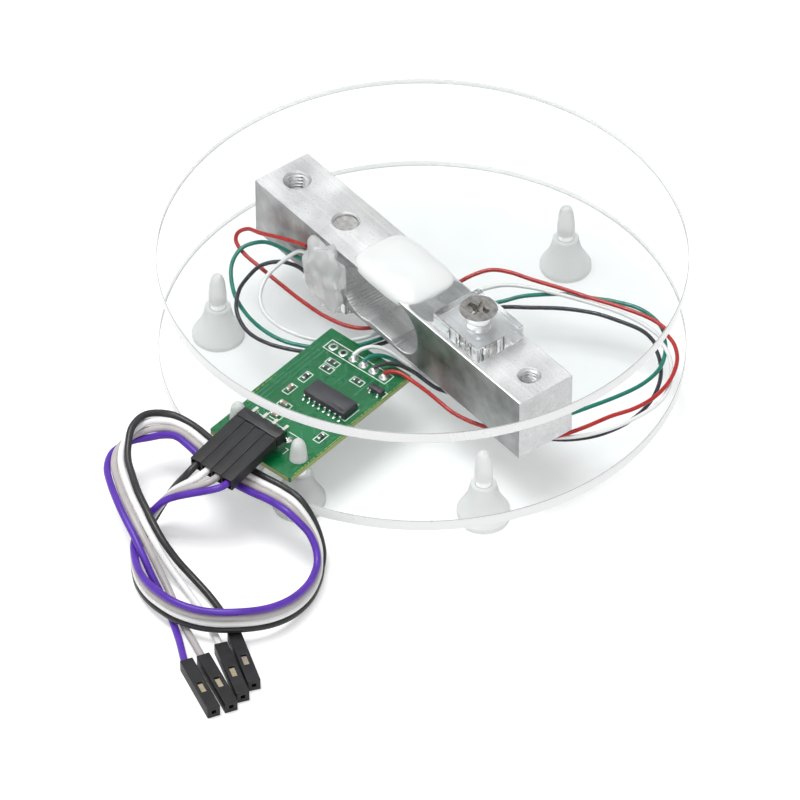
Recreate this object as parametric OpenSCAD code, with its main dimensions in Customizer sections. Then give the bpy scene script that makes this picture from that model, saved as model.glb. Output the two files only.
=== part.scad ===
// Digital load cell: a bending beam between two round clear plates, with a
// converter board, its sensor leads and its jumper leads.
// Units are millimetres. X runs along the beam, Z is up and the floor is Z = 0.

/* [Plates] */
// Diameter of both round plates
plate_d = 100; // [90:1:110]
// Thickness of both plates
plate_t = 2.4; // [2:0.1:3]
// Height of the base plate's underside above the floor
stand_h = 7.5; // [7:0.1:9]

/* [Beam] */
// Length of the sensor beam
bar_l = 80; // [76:0.5:88]
// Width of the sensor beam
bar_w = 12.7; // [12:0.1:13.4]
// Height of the sensor beam
bar_h = 12.7; // [12:0.1:14]
// Distance of the beam's centre line from the plates' axis
bar_y = -2.6; // [-3:0.1:-2]
// Distance of each inner threaded hole from the beam's middle
inner_hole_x = 20; // [19:0.5:22]
// Distance of each outer threaded hole from the beam's middle
outer_hole_x = 35; // [33:0.5:36]
// Diameter of each lobe of the cut-out
lobe_d = 11.2; // [10:0.1:11.4]
// Distance between the centres of the two lobes
lobe_gap = 11.5; // [10.5:0.1:12.5]
// Height of the slot that joins the lobes
slot_h = 10; // [7:0.1:10]

/* [Fasteners] */
// Thread diameter of the screw through the top plate
small_thread_d = 4; // [3.5:0.1:4]
// Thread diameter of the screw through the base plate
large_thread_d = 5; // [4.5:0.1:5]
// Head diameter of the screw through the top plate
small_head_d = 7.2; // [6.8:0.1:8]
// Head diameter of the screw through the base plate
large_head_d = 9.2; // [8.6:0.1:9.6]
// Overall length of the screw through the top plate
small_screw_l = 16; // [14:0.5:18]
// Overall length of the screw through the base plate
large_screw_l = 20; // [18:0.5:20]
// Thickness of the clear spacers between the beam and the plates
spacer_t = 3.5; // [3.4:0.1:4]
// Length of each clear spacer along the beam
spacer_l = 13.5; // [12:0.5:16]
// Width of each clear spacer across the beam
spacer_w = 11; // [9:0.5:12]

/* [Feet] */
// Diameter of each foot where it stands
foot_d = 10; // [9:0.5:11]
// Distance of the plate feet from the plates' axis
foot_ring_r = 40; // [39:0.5:42]
// Height of each foot's bulb above the base plate
bulb_h = 6.6; // [5:0.1:8]

/* [Board] */
// Length of the circuit board
board_l = 34; // [33:0.5:36]
// Width of the circuit board
board_w = 20.2; // [20:0.2:22]
// Thickness of the circuit board
board_t = 1.2; // [1:0.1:1.6]
// Gap between the base plate and the circuit board
board_gap = 0.9; // [0.9:0.1:1.5]
// Slope of the circuit board toward the beam, in degrees
board_tilt = 2.2; // [0:0.1:2.5]
// Length of the converter chip's body
chip_l = 9.9; // [9.6:0.1:10.2]
// Width of the converter chip's body
chip_w = 3.9; // [3.6:0.1:4.1]

/* [Leads] */
// Length of each header socket
socket_l = 13.6; // [13:0.2:15]
// Outside width of each header socket
socket_w = 2.5; // [2.3:0.05:2.52]
// Slope of the plugged sockets below level, in degrees
droop = 3; // [2:0.5:5]
// Diameter of each jumper lead
jumper_d = 1.4; // [1.2:0.05:1.45]
// Diameter of each sensor lead
lead_d = 0.8; // [0.6:0.05:0.85]

/* [Hidden] */
$fn = 48;
eps = 0.01;
clear = 0.05;
// Heights of the stack
base_z = stand_h;
floor_z = base_z + plate_t;
bar_z = floor_z + spacer_t;
bar_top_z = bar_z + bar_h;
lid_z = bar_top_z + spacer_t;
lid_top_z = lid_z + plate_t;
// Faces of the beam
near_y = bar_y - bar_w / 2;
far_y = bar_y + bar_w / 2;
// Cut-out of the beam
cut_x = -1.75;
cut_z = bar_z + bar_h / 2;
// Tapped and clear holes
small_drill_r = 0.4125 * small_thread_d;
large_drill_r = 0.42 * large_thread_d;
small_hole_r = small_thread_d / 2 + 0.25;
large_hole_r = large_thread_d / 2 + 0.15;
hole_chamfer = 0.4;
// Sealant over the gauges
seal_x0 = -11;
seal_x1 = 6.5;
seal_lip = 0.35;
seal_top_h = 2;
seal_low_h = 0.9;
lump_x = -23;
// Feet
neck_r = 1.5;
bulb_r = 1.7;
foot_angles = [-22, 98, 218];
// Circuit board, its local X across and its local Y toward the beam
board_x = 3.65;
board_y = -29.6;
board_turn = 10;
board_z = floor_z + board_gap;
deck_z = board_z + board_t;
pad_y = board_l / 2 - 3.6;
pitch = 2.54;
pin_w = 0.64;
pin_y = -9.6;
header_x = -1;
strip_y = -13.9;
strip_l = 2.5;
root_z = deck_z + 3.05;
skew = 4.7;
board_foot_x = 7.6;
board_foot_y = -11.8;
chip_x = 3.3;
chip_y = 1.9;
chip_t = 1.5;
leg_pitch = 1.27;
// Resistors and capacitors: local X, local Y and turn on the board
resistor_spots = [[-3.3, 8.2, 0], [-3.5, 10.1, 0], [3.4, 9.3, 0], [-4.9, 4.0, 90], [7.3, -5.3, 90]];
capacitor_spots = [[-5.0, -0.3, 90], [-2.9, -4.1, 0], [-3.1, -6.5, 0]];
transistor_spot = [8.0, 9.6];
part_l = 1.6;
part_w = 0.8;
part_t = 0.5;
cap_l = 0.35;
// Loose sockets: X and Y of the mating end and the direction they point in
loose_sockets = [[46.9, -76.5, -21.7], [48.0, -79.9, -20], [48.7, -83.1, -15], [47.8, -86.4, -15.5]];
// Leads: which row of the ribbon each jumper lead runs in, and its pad
ribbon_row = [-1.5, -0.5, 0.5, 1.5];
wire_in = 2.5;
socket_gap = socket_w / 2 * sin(skew) + clear;

function unit(v) = v / norm(v);
function turned(p, a) = [p[0] * cos(a) - p[1] * sin(a), p[0] * sin(a) + p[1] * cos(a), p[2]];
function in_plan_at(p) = [board_x, board_y, 0] + turned(p, board_turn);
function on_deck(p) = let (reach = p[1] + board_l / 2)
    in_plan_at([p[0], reach * cos(board_tilt) - p[2] * sin(board_tilt) - board_l / 2,
        deck_z + reach * sin(board_tilt) + p[2] * cos(board_tilt)]);
function pad_x(i) = (i - 2.5) * pitch;
function pin_x(i) = header_x + (i - 1.5) * pitch;
function pad_point(i) = on_deck([pad_x(i), pad_y, 0.5 + lead_d / 2]);
function plug_point(k, far) = let (a = board_turn + skew - 90)
    in_plan_at([pin_x(k), strip_y, root_z])
    + (far + socket_gap) * [cos(a) * cos(droop), sin(a) * cos(droop), -sin(droop)];

// Smooth route through hand-placed points
function bend(a, b, c, d, t) = 0.5 * (2 * b + (c - a) * t + (2 * a - 5 * b + 4 * c - d) * t * t
    + (3 * b - a - 3 * c + d) * t * t * t);
function clamped(p, i) = p[max(0, min(len(p) - 1, i))];
function place(p, s) = let (i = min(floor(s), len(p) - 2))
    bend(clamped(p, i - 1), p[i], p[i + 1], clamped(p, i + 2), s - i);
function smooth(p, n) = [for (k = [0:n - 1]) place(p, k * (len(p) - 1) / (n - 1))];
function heading(q, i) = unit(clamped(q, i + 1) - clamped(q, i - 1));
function across(t) = unit(cross([0, 0, 1], t));
function ring(q, i, r, sides) = let (t = heading(q, i), u = across(t), v = cross(t, u))
    [for (k = [0:sides - 1])
        q[i] + r * (cos(360 * (k + 0.5) / sides) * u + sin(360 * (k + 0.5) / sides) * v)];

// The first three points of each jumper lead outside its plug
black_start = [[4.9, -59.8, 13.2], [2.6, -61.1, 8.8], [1.5, -63.6, 4.2]];
white_start = [[7.2, -59.6, 13.7], [3.9, -62.3, 9.7], [2.3, -64.7, 5.4]];
grey_start = [[9.5, -59.2, 13.9], [5.0, -63.3, 10.4], [3.1, -65.6, 6.6]];
purple_start = [[11.8, -58.8, 14.0], [6.0, -64.4, 10.8], [3.9, -66.6, 7.7]];
// Ribbon of four jumper leads: X, Y, Z of its middle, its roll and its pitch.
// Heights are those over a plug end that is 14.3 above the floor.
ribbon = [
    [3.2, -68.1, 3.8, 82, 1.7],
    [4.1, -70.2, 3.0, 88, 1.5],
    [6.3, -73.2, 2.9, 90, 1.45],
    [9.4, -75.4, 2.95, 90, 1.45],
    [13.2, -77.3, 3.35, 90, 1.45],
    [17.5, -78.4, 3.9, 90, 1.45],
    [21.5, -78.6, 4.5, 90, 1.45],
    [25.4, -78.0, 4.75, 90, 1.45],
    [29.1, -76.4, 4.9, 90, 1.45],
    [32.2, -74.4, 5.3, 90, 1.45],
    [34.6, -71.8, 5.5, 90, 1.45],
    [36.4, -68.4, 5.2, 90, 1.45],
    [37.3, -65.0, 4.7, 90, 1.45],
    [37.3, -61.3, 4.05, 90, 1.45],
    [36.4, -57.5, 3.4, 90, 1.45],
    [34.8, -53.9, 3.0, 90, 1.45],
    [32.5, -50.6, 3.1, 88, 1.5],
    [30.4, -48.7, 4.1, 80, 1.72],
    [28.0, -47.4, 6.0, 62, 1.85],
    [25.2, -47.3, 8.6, 38, 1.75],
    [21.9, -48.0, 11.1, 10, 1.5],
    [17.6, -48.5, 11.1, 0, 1.45],
    [13.5, -49.5, 10.9, -6, 1.45],
    [9.4, -50.4, 10.75, -9, 1.45],
    [5.4, -51.0, 10.75, -9, 1.45],
    [1.3, -51.1, 10.9, -6, 1.45],
    [-2.7, -51.2, 11.1, 0, 1.45],
    [-6.8, -51.5, 11.1, 0, 1.45],
    [-10.2, -52.9, 10.9, -20, 1.5],
    [-12.6, -55.6, 10.4, -60, 1.5],
    [-13.2, -59.0, 9.9, -100, 1.5],
    [-11.8, -62.6, 9.4, -135, 1.5],
    [-9.0, -65.4, 9.1, -155, 1.45],
    [-5.3, -67.3, 8.9, -170, 1.45],
    [-1.2, -69.0, 8.75, -178, 1.45],
    [3.0, -70.3, 8.2, -180, 1.5]];
// Free tails from the ribbon's end to just inside each loose socket
black_tail = [[7.0, -69.0, 7.4], [10.6, -69.5, 6.0], [14.6, -69.3, 4.0], [18.6, -68.8, 2.4],
    [22.6, -68.7, 1.5], [26.6, -69.1, 1.0], [30.4, -70.0, 0.95]];
white_tail = [[6.6, -70.4, 7.3], [10.0, -70.9, 5.9], [13.6, -70.9, 3.5], [17.6, -70.9, 1.7],
    [21.8, -71.3, 0.85], [26.4, -72.2, 0.75], [30.4, -73.5, 0.9]];
grey_tail = [[6.8, -71.95, 7.0], [10.6, -72.6, 5.3], [14.2, -73.1, 3.1], [18.4, -74.0, 1.3],
    [22.8, -75.6, 0.75], [27.2, -77.1, 0.8], [31.0, -78.2, 1.0]];
purple_tail = [[7.2, -73.6, 7.0], [10.6, -74.4, 5.6], [13.8, -75.0, 3.6], [17.2, -75.5, 1.8],
    [20.6, -76.4, 0.85], [24.6, -78.0, 0.75], [29.0, -80.0, 0.85]];

// Sensor leads: X, Y and the height over the base plate
red_loop = [[-26.0, near_y - 1.25, 10.9], [-30.4, near_y - 2.25, 9.7], [-34.6, near_y - 3.05, 8.2],
    [-38.0, near_y - 3.25, 7.0], [-39.9, -13.2, 5.3], [-39.4, -14.1, 3.8], [-36.6, -14.2, 2.6],
    [-32.4, -13.5, 1.6], [-27.0, -12.8, 0.7], [-21.0, -12.4, 0.5], [-14.8, -11.6, 0.5],
    [-9.6, -9.6, 0.5], [-6.9, -6.4, 0.5], [-6.2, -1.0, 0.5], [-6.2, 5.0, 0.5], [-6.3, 11.0, 0.6],
    [-6.2, 16.0, 1.2], [-4.2, 19.7, 2.4], [-0.8, 21.9, 3.0], [3.5, 23.9, 3.0], [8.5, 26.5, 3.0],
    [14.2, 29.2, 3.0], [20.5, 32.4, 3.0], [26.5, 34.6, 3.0], [31.8, 34.6, 3.0], [35.8, 32.8, 3.0],
    [38.8, 29.8, 3.0], [41.0, 26.0, 3.0], [42.3, 21.5, 3.0], [42.3, 16.8, 3.0], [41.2, 12.0, 3.0],
    [40.6, 7.0, 3.0], [39.4, 2.0, 2.8], [36.6, -2.6, 2.0], [32.4, -5.2, 0.9], [27.6, -7.2, 0.5],
    [24.3, -8.6, 0.5], [20.8, -9.5, 0.6], [17.9, -10.0, 1.2], [15.0, -10.8, 2.3],
    [12.2, -12.0, 3.6], [9.7, -12.7, 4.1], [8.1, -13.8, 4.2]];
white_loop = [[-25.6, near_y - 0.95, 8.6], [-27.8, -12.0, 5.6], [-28.2, -15.4, 3.4],
    [-26.2, -18.6, 1.6], [-22.4, -20.2, 0.6], [-17.4, -20.0, 0.5], [-12.6, -18.2, 0.5],
    [-9.4, -15.6, 0.5], [-6.8, -12.2, 0.5], [-5.2, -7.6, 0.5], [-4.6, -1.6, 0.5], [-4.2, 4.6, 0.5],
    [-3.4, 10.6, 0.5], [-2.2, 15.6, 0.9], [0.2, 19.6, 1.7], [4.2, 22.8, 2.15], [8.6, 25.6, 2.15],
    [14.0, 28.6, 2.15], [20.2, 31.6, 2.15], [25.6, 33.0, 2.15], [30.4, 33.2, 2.15],
    [34.4, 32.0, 2.15], [37.8, 29.8, 2.15], [41.0, 26.6, 2.15], [43.2, 22.4, 2.15],
    [43.8, 17.0, 2.15], [43.2, 11.0, 2.15], [41.2, 5.0, 2.1], [37.6, 0.4, 1.8], [32.8, -2.6, 1.2],
    [27.0, -4.9, 0.6], [21.4, -6.3, 0.6], [17.7, -6.9, 1.0], [14.2, -7.1, 1.45], [10.6, -7.6, 1.5],
    [7.6, -8.5, 2.0], [5.5, -9.5, 2.8], [3.9, -10.4, 3.9], [2.3, -11.6, 4.7], [0.9, -13.3, 5.0],
    [0.1, -15.2, 4.6]];
green_loop = [[-26.2, near_y - 0.95, 7.0], [-31.0, near_y - 1.25, 6.2],
    [-35.0, near_y - 2.25, 5.2], [-37.3, -14.4, 3.8], [-35.6, -18.2, 2.4], [-31.0, -21.2, 0.9],
    [-25.6, -22.8, 0.5], [-20.0, -23.2, 0.5], [-14.8, -22.2, 0.5], [-10.4, -19.4, 0.45],
    [-6.6, -15.4, 0.45], [-4.4, -10.8, 0.45], [-3.2, -5.2, 0.5], [-2.8, 0.8, 0.5],
    [-1.6, 6.8, 0.5], [0.6, 12.4, 0.5], [2.8, 17.0, 0.8], [4.4, 20.4, 1.3], [6.4, 23.8, 1.3],
    [9.0, 27.2, 1.3], [12.8, 30.4, 1.3], [16.8, 33.6, 1.3], [21.0, 35.8, 1.3], [25.6, 36.2, 1.3],
    [29.6, 34.9, 1.3], [33.0, 32.2, 1.3], [35.6, 28.4, 1.3], [36.7, 23.4, 1.3], [36.4, 18.0, 1.3],
    [35.4, 12.0, 1.3], [34.0, 6.6, 1.1], [31.0, 1.6, 0.6], [25.8, -2.5, 0.5], [20.0, -4.1, 0.5],
    [14.5, -5.5, 0.5], [9.4, -7.0, 0.6], [6.6, -8.5, 1.1], [4.9, -9.8, 2.0], [3.9, -11.3, 3.3],
    [3.1, -12.9, 4.2], [2.6, -14.7, 4.5]];
black_loop = [[-26.4, near_y - 0.95, 4.5], [-29.8, near_y - 2.25, 3.8], [-31.6, -14.2, 3.2],
    [-30.8, -18.0, 2.8], [-28.9, -21.6, 2.6], [-25.6, -24.6, 1.5], [-20.8, -25.8, 0.6],
    [-15.8, -24.8, 0.5], [-11.2, -22.0, 0.45], [-7.2, -18.4, 0.45], [-4.2, -13.8, 0.45],
    [-2.4, -8.4, 0.5], [-1.4, -2.6, 0.5], [-0.6, 3.6, 0.5], [1.2, 9.6, 0.5], [3.4, 15.6, 0.5],
    [7.2, 20.4, 0.45], [11.2, 25.0, 0.45], [15.8, 28.8, 0.45], [20.6, 31.2, 0.45],
    [25.6, 32.9, 0.45], [30.0, 32.4, 0.45], [34.2, 30.2, 0.45], [37.5, 27.2, 0.45],
    [40.2, 23.2, 0.45], [42.0, 18.4, 0.45], [42.4, 13.0, 0.45], [41.2, 7.4, 0.45],
    [38.0, 2.2, 0.45], [33.2, -1.4, 0.45], [27.0, -3.8, 0.45], [20.4, -5.4, 0.45],
    [16.6, -6.4, 0.45], [13.9, -7.5, 0.45], [12.3, -8.2, 1.0], [10.5, -9.1, 2.1],
    [8.9, -10.2, 3.2], [7.6, -11.5, 4.1], [6.5, -13.0, 4.6], [5.7, -14.6, 4.6]];
exit_z = [11.6, 9.8, 7.6, 4.7];

// Places that the routes are measured from
lift = (root_z - socket_l * sin(droop) - jumper_d / 2 - clear) / 13.6;
function lead_route(zx, points, pad) = concat(
    [[lump_x - 3 * clear, near_y - 0.7, floor_z + zx]],
    [for (q = points) [q[0], q[1], floor_z + q[2]]],
    [pad_point(pad)]);
function raised(z) = jumper_d / 2 + clear + (z - 0.75) * lift;
function left_of(p, i) = let (t = unit([clamped(p, i + 1)[0] - clamped(p, i - 1)[0],
    clamped(p, i + 1)[1] - clamped(p, i - 1)[1], 0])) [-t[1], t[0], 0];
function ribbon_wire(k) = [for (i = [0:len(ribbon) - 1]) let (p = ribbon[i], f = ribbon_row[k] * p[4])
    [p[0], p[1], raised(p[2])] + f * (cos(p[3]) * left_of(ribbon, i) + [0, 0, sin(p[3])])];
function loose_point(k, far) = let (s = loose_sockets[k])
    [s[0] - far * cos(s[2]), s[1] - far * sin(s[2]), socket_w / 2 + clear];
function jumper_route(k, start, tail) = concat(
    [for (far = [-wire_in, -1, 0.5]) plug_point(k, socket_l + far)],
    [for (q = start) [q[0], q[1], raised(q[2])]],
    ribbon_wire(k),
    [for (q = tail) [q[0], q[1], raised(q[2])]],
    [for (far = [1, -1, -wire_in]) loose_point(k, socket_l + far)]);

module in_plan() {
    translate([board_x, board_y, 0])
        rotate([0, 0, board_turn])
            children();
}

module on_board() {
    in_plan()
        translate([0, -board_l / 2, deck_z])
            rotate([board_tilt, 0, 0])
                translate([0, board_l / 2, 0])
                    children();
}

module tube(route, d, n) {
    q = smooth(route, n);
    sides = 8;
    polyhedron(
        points = [for (i = [0:n - 1]) each ring(q, i, d / 2, sides)],
        faces = concat(
            [[for (k = [0:sides - 1]) k]],
            [for (i = [0:n - 2]) for (k = [0:sides - 1]) [i * sides + k, (i + 1) * sides + k,
                (i + 1) * sides + (k + 1) % sides]],
            [for (i = [0:n - 2]) for (k = [0:sides - 1]) [i * sides + k,
                (i + 1) * sides + (k + 1) % sides, i * sides + (k + 1) % sides]],
            [[for (k = [sides - 1:-1:0]) (n - 1) * sides + k]]));
}

module foot_holes() {
    for (a = foot_angles)
        translate([foot_ring_r * cos(a), foot_ring_r * sin(a), base_z - eps])
            cylinder(r = neck_r, h = plate_t + 2 * eps);
    in_plan()
        for (s = [-1, 1])
            translate([s * board_foot_x, board_foot_y, base_z - eps])
                cylinder(r = neck_r, h = plate_t + 2 * eps);
}

module base_plate() {
    color([0.9, 0.95, 0.97, 0.4])
        difference() {
            translate([0, 0, base_z])
                cylinder(d = plate_d, h = plate_t, $fn = 120);
            foot_holes();
            translate([-inner_hole_x, bar_y, base_z - eps])
                cylinder(r = large_hole_r, h = plate_t + 2 * eps);
        }
}

module top_plate() {
    color([0.9, 0.95, 0.97, 0.4])
        difference() {
            translate([0, 0, lid_z])
                cylinder(d = plate_d, h = plate_t, $fn = 120);
            translate([inner_hole_x, bar_y, lid_z - eps])
                cylinder(r = small_hole_r, h = plate_t + 2 * eps);
        }
}

module spacer(x, z, hole_r) {
    difference() {
        translate([x - spacer_l / 2, bar_y - spacer_w / 2, z])
            cube([spacer_l, spacer_w, spacer_t]);
        translate([x, bar_y, z - eps])
            cylinder(r = hole_r, h = spacer_t + 2 * eps);
    }
}

module top_spacer() {
    color([0.92, 0.94, 0.95, 0.5])
        spacer(inner_hole_x, bar_top_z, small_hole_r);
}

module base_spacer() {
    color([0.92, 0.94, 0.95, 0.5])
        spacer(-inner_hole_x, floor_z, large_hole_r);
}

module beam_hole(x, r, major_r) {
    translate([x, bar_y, bar_z - eps])
        cylinder(r = r, h = bar_h + 2 * eps);
    translate([x, bar_y, bar_top_z - hole_chamfer])
        cylinder(r1 = major_r, r2 = major_r + hole_chamfer + eps, h = hole_chamfer + eps);
    translate([x, bar_y, bar_z - eps])
        cylinder(r1 = major_r + hole_chamfer + eps, r2 = major_r, h = hole_chamfer + eps);
}

module beam_cut_out() {
    for (s = [-1, 1])
        translate([cut_x + s * lobe_gap / 2, near_y - 1, cut_z])
            rotate([-90, 0, 0])
                cylinder(d = lobe_d, h = bar_w + 2, $fn = 72);
    translate([cut_x - lobe_gap / 2, near_y - 1, cut_z - slot_h / 2])
        cube([lobe_gap, bar_w + 2, slot_h]);
}

module beam_block() {
    translate([-bar_l / 2, near_y, bar_z])
        cube([bar_l, bar_w, bar_h]);
}

module sensor_beam() {
    color([0.62, 0.63, 0.64])
        difference() {
            beam_block();
            beam_cut_out();
            beam_hole(inner_hole_x, small_thread_d / 2 + clear, small_thread_d / 2 + clear);
            beam_hole(outer_hole_x, small_drill_r, small_thread_d / 2);
            beam_hole(-inner_hole_x, large_thread_d / 2 + clear, large_thread_d / 2 + clear);
            beam_hole(-outer_hole_x, large_drill_r, large_thread_d / 2);
        }
}

module gauge_solids() {
    for (s = [-1, 1])
        for (z = [bar_top_z, bar_z - 0.15])
            translate([cut_x + s * lobe_gap / 2 - 1.8, bar_y - 2, z])
                cube([3.6, 4, 0.15]);
}

module strain_gauges() {
    color([0.85, 0.6, 0.3])
        gauge_solids();
}

module rounded_slab(x0, x1, y0, y1, z, h, r) {
    translate([x0 + r, y0, z])
        cube([x1 - x0 - 2 * r, y1 - y0, h]);
    translate([x0, y0 + r, z])
        cube([x1 - x0, y1 - y0 - 2 * r, h]);
    for (x = [x0 + r, x1 - r])
        for (y = [y0 + r, y1 - r])
            translate([x, y, z])
                cylinder(r = r, h = h);
}

module sealant_top() {
    dome_r = 30;
    color([0.95, 0.95, 0.94])
        difference() {
            intersection() {
                rounded_slab(seal_x0, seal_x1, near_y - seal_lip, far_y + seal_lip, bar_top_z - 0.9, 4, 3);
                translate([(seal_x0 + seal_x1) / 2, bar_y, bar_top_z + seal_top_h - dome_r])
                    sphere(r = dome_r, $fn = 96);
            }
            beam_block();
            gauge_solids();
        }
}

module sealant_bottom() {
    color([0.95, 0.95, 0.94])
        difference() {
            rounded_slab(seal_x0, seal_x1, near_y + 1, far_y - 1, bar_z - seal_low_h, seal_low_h, 3);
            gauge_solids();
        }
}

module lead_sealant() {
    bulge_r = 13.5;
    bulge = 3;
    color([0.9, 0.9, 0.88, 0.8])
        difference() {
            intersection() {
                translate([lump_x + 5.5, near_y - bulge + bulge_r, floor_z + 8.1])
                    sphere(r = bulge_r, $fn = 72);
                translate([lump_x, near_y, floor_z])
                    rotate([90, 0, 0])
                        linear_extrude(height = 4)
                            polygon([[0, 2.6], [0, 13.6], [1, 15.1], [4, 15.6], [9.5, 14.6],
                                [11, 10], [10.5, 4],
                                [8, 1.2], [3, 0.9]]);
            }
        }
}

module screw(thread_d, head_d, hole_r, length) {
    rim = 0.1;
    cone = head_d / 2 - hole_r + 0.25;
    slot_w = 0.26 * thread_d;
    slot_l = 0.6 * head_d;
    difference() {
        union() {
            translate([0, 0, -rim])
                cylinder(d = head_d, h = rim);
            translate([0, 0, -rim - cone])
                cylinder(r1 = hole_r - 0.25, r2 = head_d / 2, h = cone);
            translate([0, 0, -length])
                cylinder(d = thread_d - 0.02, h = length - rim - cone + eps);
        }
        for (a = [0, 90])
            rotate([0, 0, a + 20])
                translate([-slot_l / 2, -slot_w / 2, -0.35 * thread_d])
                    cube([slot_l, slot_w, thread_d]);
        translate([0, 0, -0.42 * thread_d])
            cylinder(r1 = 0.1 * thread_d, r2 = 0.28 * thread_d, h = 0.42 * thread_d + eps);
    }
}

module top_screw() {
    color([0.75, 0.75, 0.76])
        translate([inner_hole_x, bar_y, lid_top_z + small_head_d / 2 - small_hole_r + 0.1])
            screw(small_thread_d, small_head_d, small_hole_r, small_screw_l);
}

module base_screw() {
    color([0.75, 0.75, 0.76])
        translate([-inner_hole_x, bar_y, base_z - large_head_d / 2 + large_hole_r - 0.1])
            rotate([180, 0, 0])
                screw(large_thread_d, large_head_d, large_hole_r, large_screw_l);
}

module foot() {
    k = foot_d / 10;
    top = base_z + plate_t;
    color([0.86, 0.86, 0.82])
        rotate_extrude()
            polygon([[0, 0], [5 * k, 0], [5 * k, 0.16 * base_z], [4.2 * k, 0.32 * base_z],
                [3.3 * k, 0.55 * base_z],
                [2.75 * k, 0.8 * base_z], [2.5 * k, base_z], [neck_r - clear, base_z], [neck_r - clear, top],
                [bulb_r, top], [bulb_r, top + 0.3 * bulb_h], [1.6, top + 0.5 * bulb_h],
                [1.45, top + 0.72 * bulb_h], [1.15, top + 0.9 * bulb_h], [0.7, top + 0.985 * bulb_h],
                [0, top + bulb_h]]);
}

module plate_foot(i) {
    translate([foot_ring_r * cos(foot_angles[i]), foot_ring_r * sin(foot_angles[i]), 0])
        foot();
}

module plate_foot_right() {
    plate_foot(0);
}

module plate_foot_back() {
    plate_foot(1);
}

module plate_foot_left() {
    plate_foot(2);
}

module board_foot(s) {
    in_plan()
        translate([s * board_foot_x, board_foot_y, 0])
            foot();
}

module board_foot_right() {
    board_foot(1);
}

module board_foot_left() {
    board_foot(-1);
}

module circuit_board() {
    color([0.05, 0.4, 0.2])
        on_board()
            difference() {
                translate([-board_w / 2, -board_l / 2, -board_t])
                    cube([board_w, board_l, board_t]);
                for (s = [-1, 1])
                    translate([s * board_foot_x, board_foot_y, -board_t - eps])
                        cylinder(r = bulb_r + 3 * clear, h = board_t + 2 * eps);
                for (i = [0:3])
                    translate([pin_x(i), pin_y, -board_t - eps])
                        cylinder(r = 0.5, h = board_t + 2 * eps);
                for (i = [0:5])
                    translate([pad_x(i), pad_y, -board_t - eps])
                        cylinder(r = 0.5, h = board_t + 2 * eps);
            }
}

module converter_chip() {
    color([0.2, 0.2, 0.22])
        on_board()
            translate([chip_x - chip_l / 2, chip_y - chip_w / 2, 0.15])
                difference() {
                    cube([chip_l, chip_w, chip_t]);
                    translate([chip_l - 0.9, 0.9, chip_t - 0.1])
                        cylinder(d = 0.8, h = 1);
                }
}

module gull_leg(w, reach, top) {
    translate([-w / 2, 0, 0])
        rotate([90, 0, 90])
            linear_extrude(height = w)
                polygon([[0, top - 0.18], [0.35 * reach, top - 0.18], [0.5 * reach, 0],
                    [reach, 0], [reach, 0.18],
                    [0.6 * reach, 0.18], [0.45 * reach, top], [0, top]]);
}

module chip_legs() {
    color([0.8, 0.8, 0.8])
        on_board()
            for (i = [0:7])
                for (s = [-1, 1])
                    translate([chip_x + (i - 3.5) * leg_pitch, chip_y + s * chip_w / 2, 0])
                        rotate([0, 0, s > 0 ? 0 : 180])
                            gull_leg(0.4, 1.05, 0.95);
}

module transistor() {
    color([0.15, 0.15, 0.16])
        on_board()
            translate([transistor_spot[0] - 1.5, transistor_spot[1] - 0.65, 0.1])
                cube([3, 1.3, 1]);
}

module transistor_legs() {
    color([0.8, 0.8, 0.8])
        on_board()
            translate([transistor_spot[0], transistor_spot[1], 0]) {
                for (x = [-0.95, 0.95])
                    translate([x, -0.65, 0])
                        rotate([0, 0, 180])
                            gull_leg(0.42, 0.6, 0.6);
                translate([0, 0.65, 0])
                    gull_leg(0.42, 0.6, 0.6);
            }
}

module at_spots(spots) {
    on_board()
        for (q = spots)
            translate([q[0], q[1], 0.05])
                rotate([0, 0, q[2]])
                    children();
}

module resistors() {
    color([0.12, 0.12, 0.13])
        at_spots(resistor_spots)
            translate([cap_l - part_l / 2, -part_w / 2, 0])
                cube([part_l - 2 * cap_l, part_w, part_t]);
}

module capacitors() {
    color([0.65, 0.5, 0.38])
        at_spots(capacitor_spots)
            translate([cap_l - part_l / 2, -part_w / 2, 0])
                cube([part_l - 2 * cap_l, part_w, part_t + 0.2]);
}

module part_caps() {
    color([0.8, 0.8, 0.78])
        for (k = [0, 1])
            at_spots(k == 0 ? resistor_spots : capacitor_spots)
                for (s = [-1, 1])
                    translate([s * (part_l - cap_l) / 2 - cap_l / 2, -part_w / 2, -0.05])
                        cube([cap_l, part_w, part_t + 0.05 + 0.2 * k]);
}

module lead_joints() {
    color([0.8, 0.8, 0.8])
        on_board()
            for (i = [2:5])
                translate([pad_x(i), pad_y, 0])
                    cylinder(r1 = 0.95, r2 = 0.6, h = 0.5);
}

module pin_joints() {
    color([0.8, 0.8, 0.8])
        on_board()
            for (i = [0:3])
                translate([pin_x(i), pin_y, 0])
                    difference() {
                        cylinder(r1 = 0.95, r2 = 0.55, h = 0.5);
                        translate([-pin_w / 2, -pin_w / 2, -1])
                            cube([pin_w, pin_w, 3]);
                    }
}

module at_header() {
    in_plan()
        translate([header_x, strip_y, root_z])
            rotate([droop, 0, 0])
                children();
}

module at_plug(i) {
    in_plan()
        translate([pin_x(i), strip_y, root_z])
            rotate([0, 0, 180 + skew])
                rotate([-droop, 0, 0])
                    children();
}

module header_strip() {
    color([0.08, 0.08, 0.09])
        at_header()
            difference() {
                translate([-2 * pitch, 0, -pitch / 2])
                    cube([4 * pitch, strip_l, pitch]);
                for (i = [0:3])
                    translate([(i - 1.5) * pitch - pin_w / 2 - eps, -1, -pin_w / 2 - eps])
                        cube([pin_w + 2 * eps, strip_l + 2, pin_w + 2 * eps]);
            }
}

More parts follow.
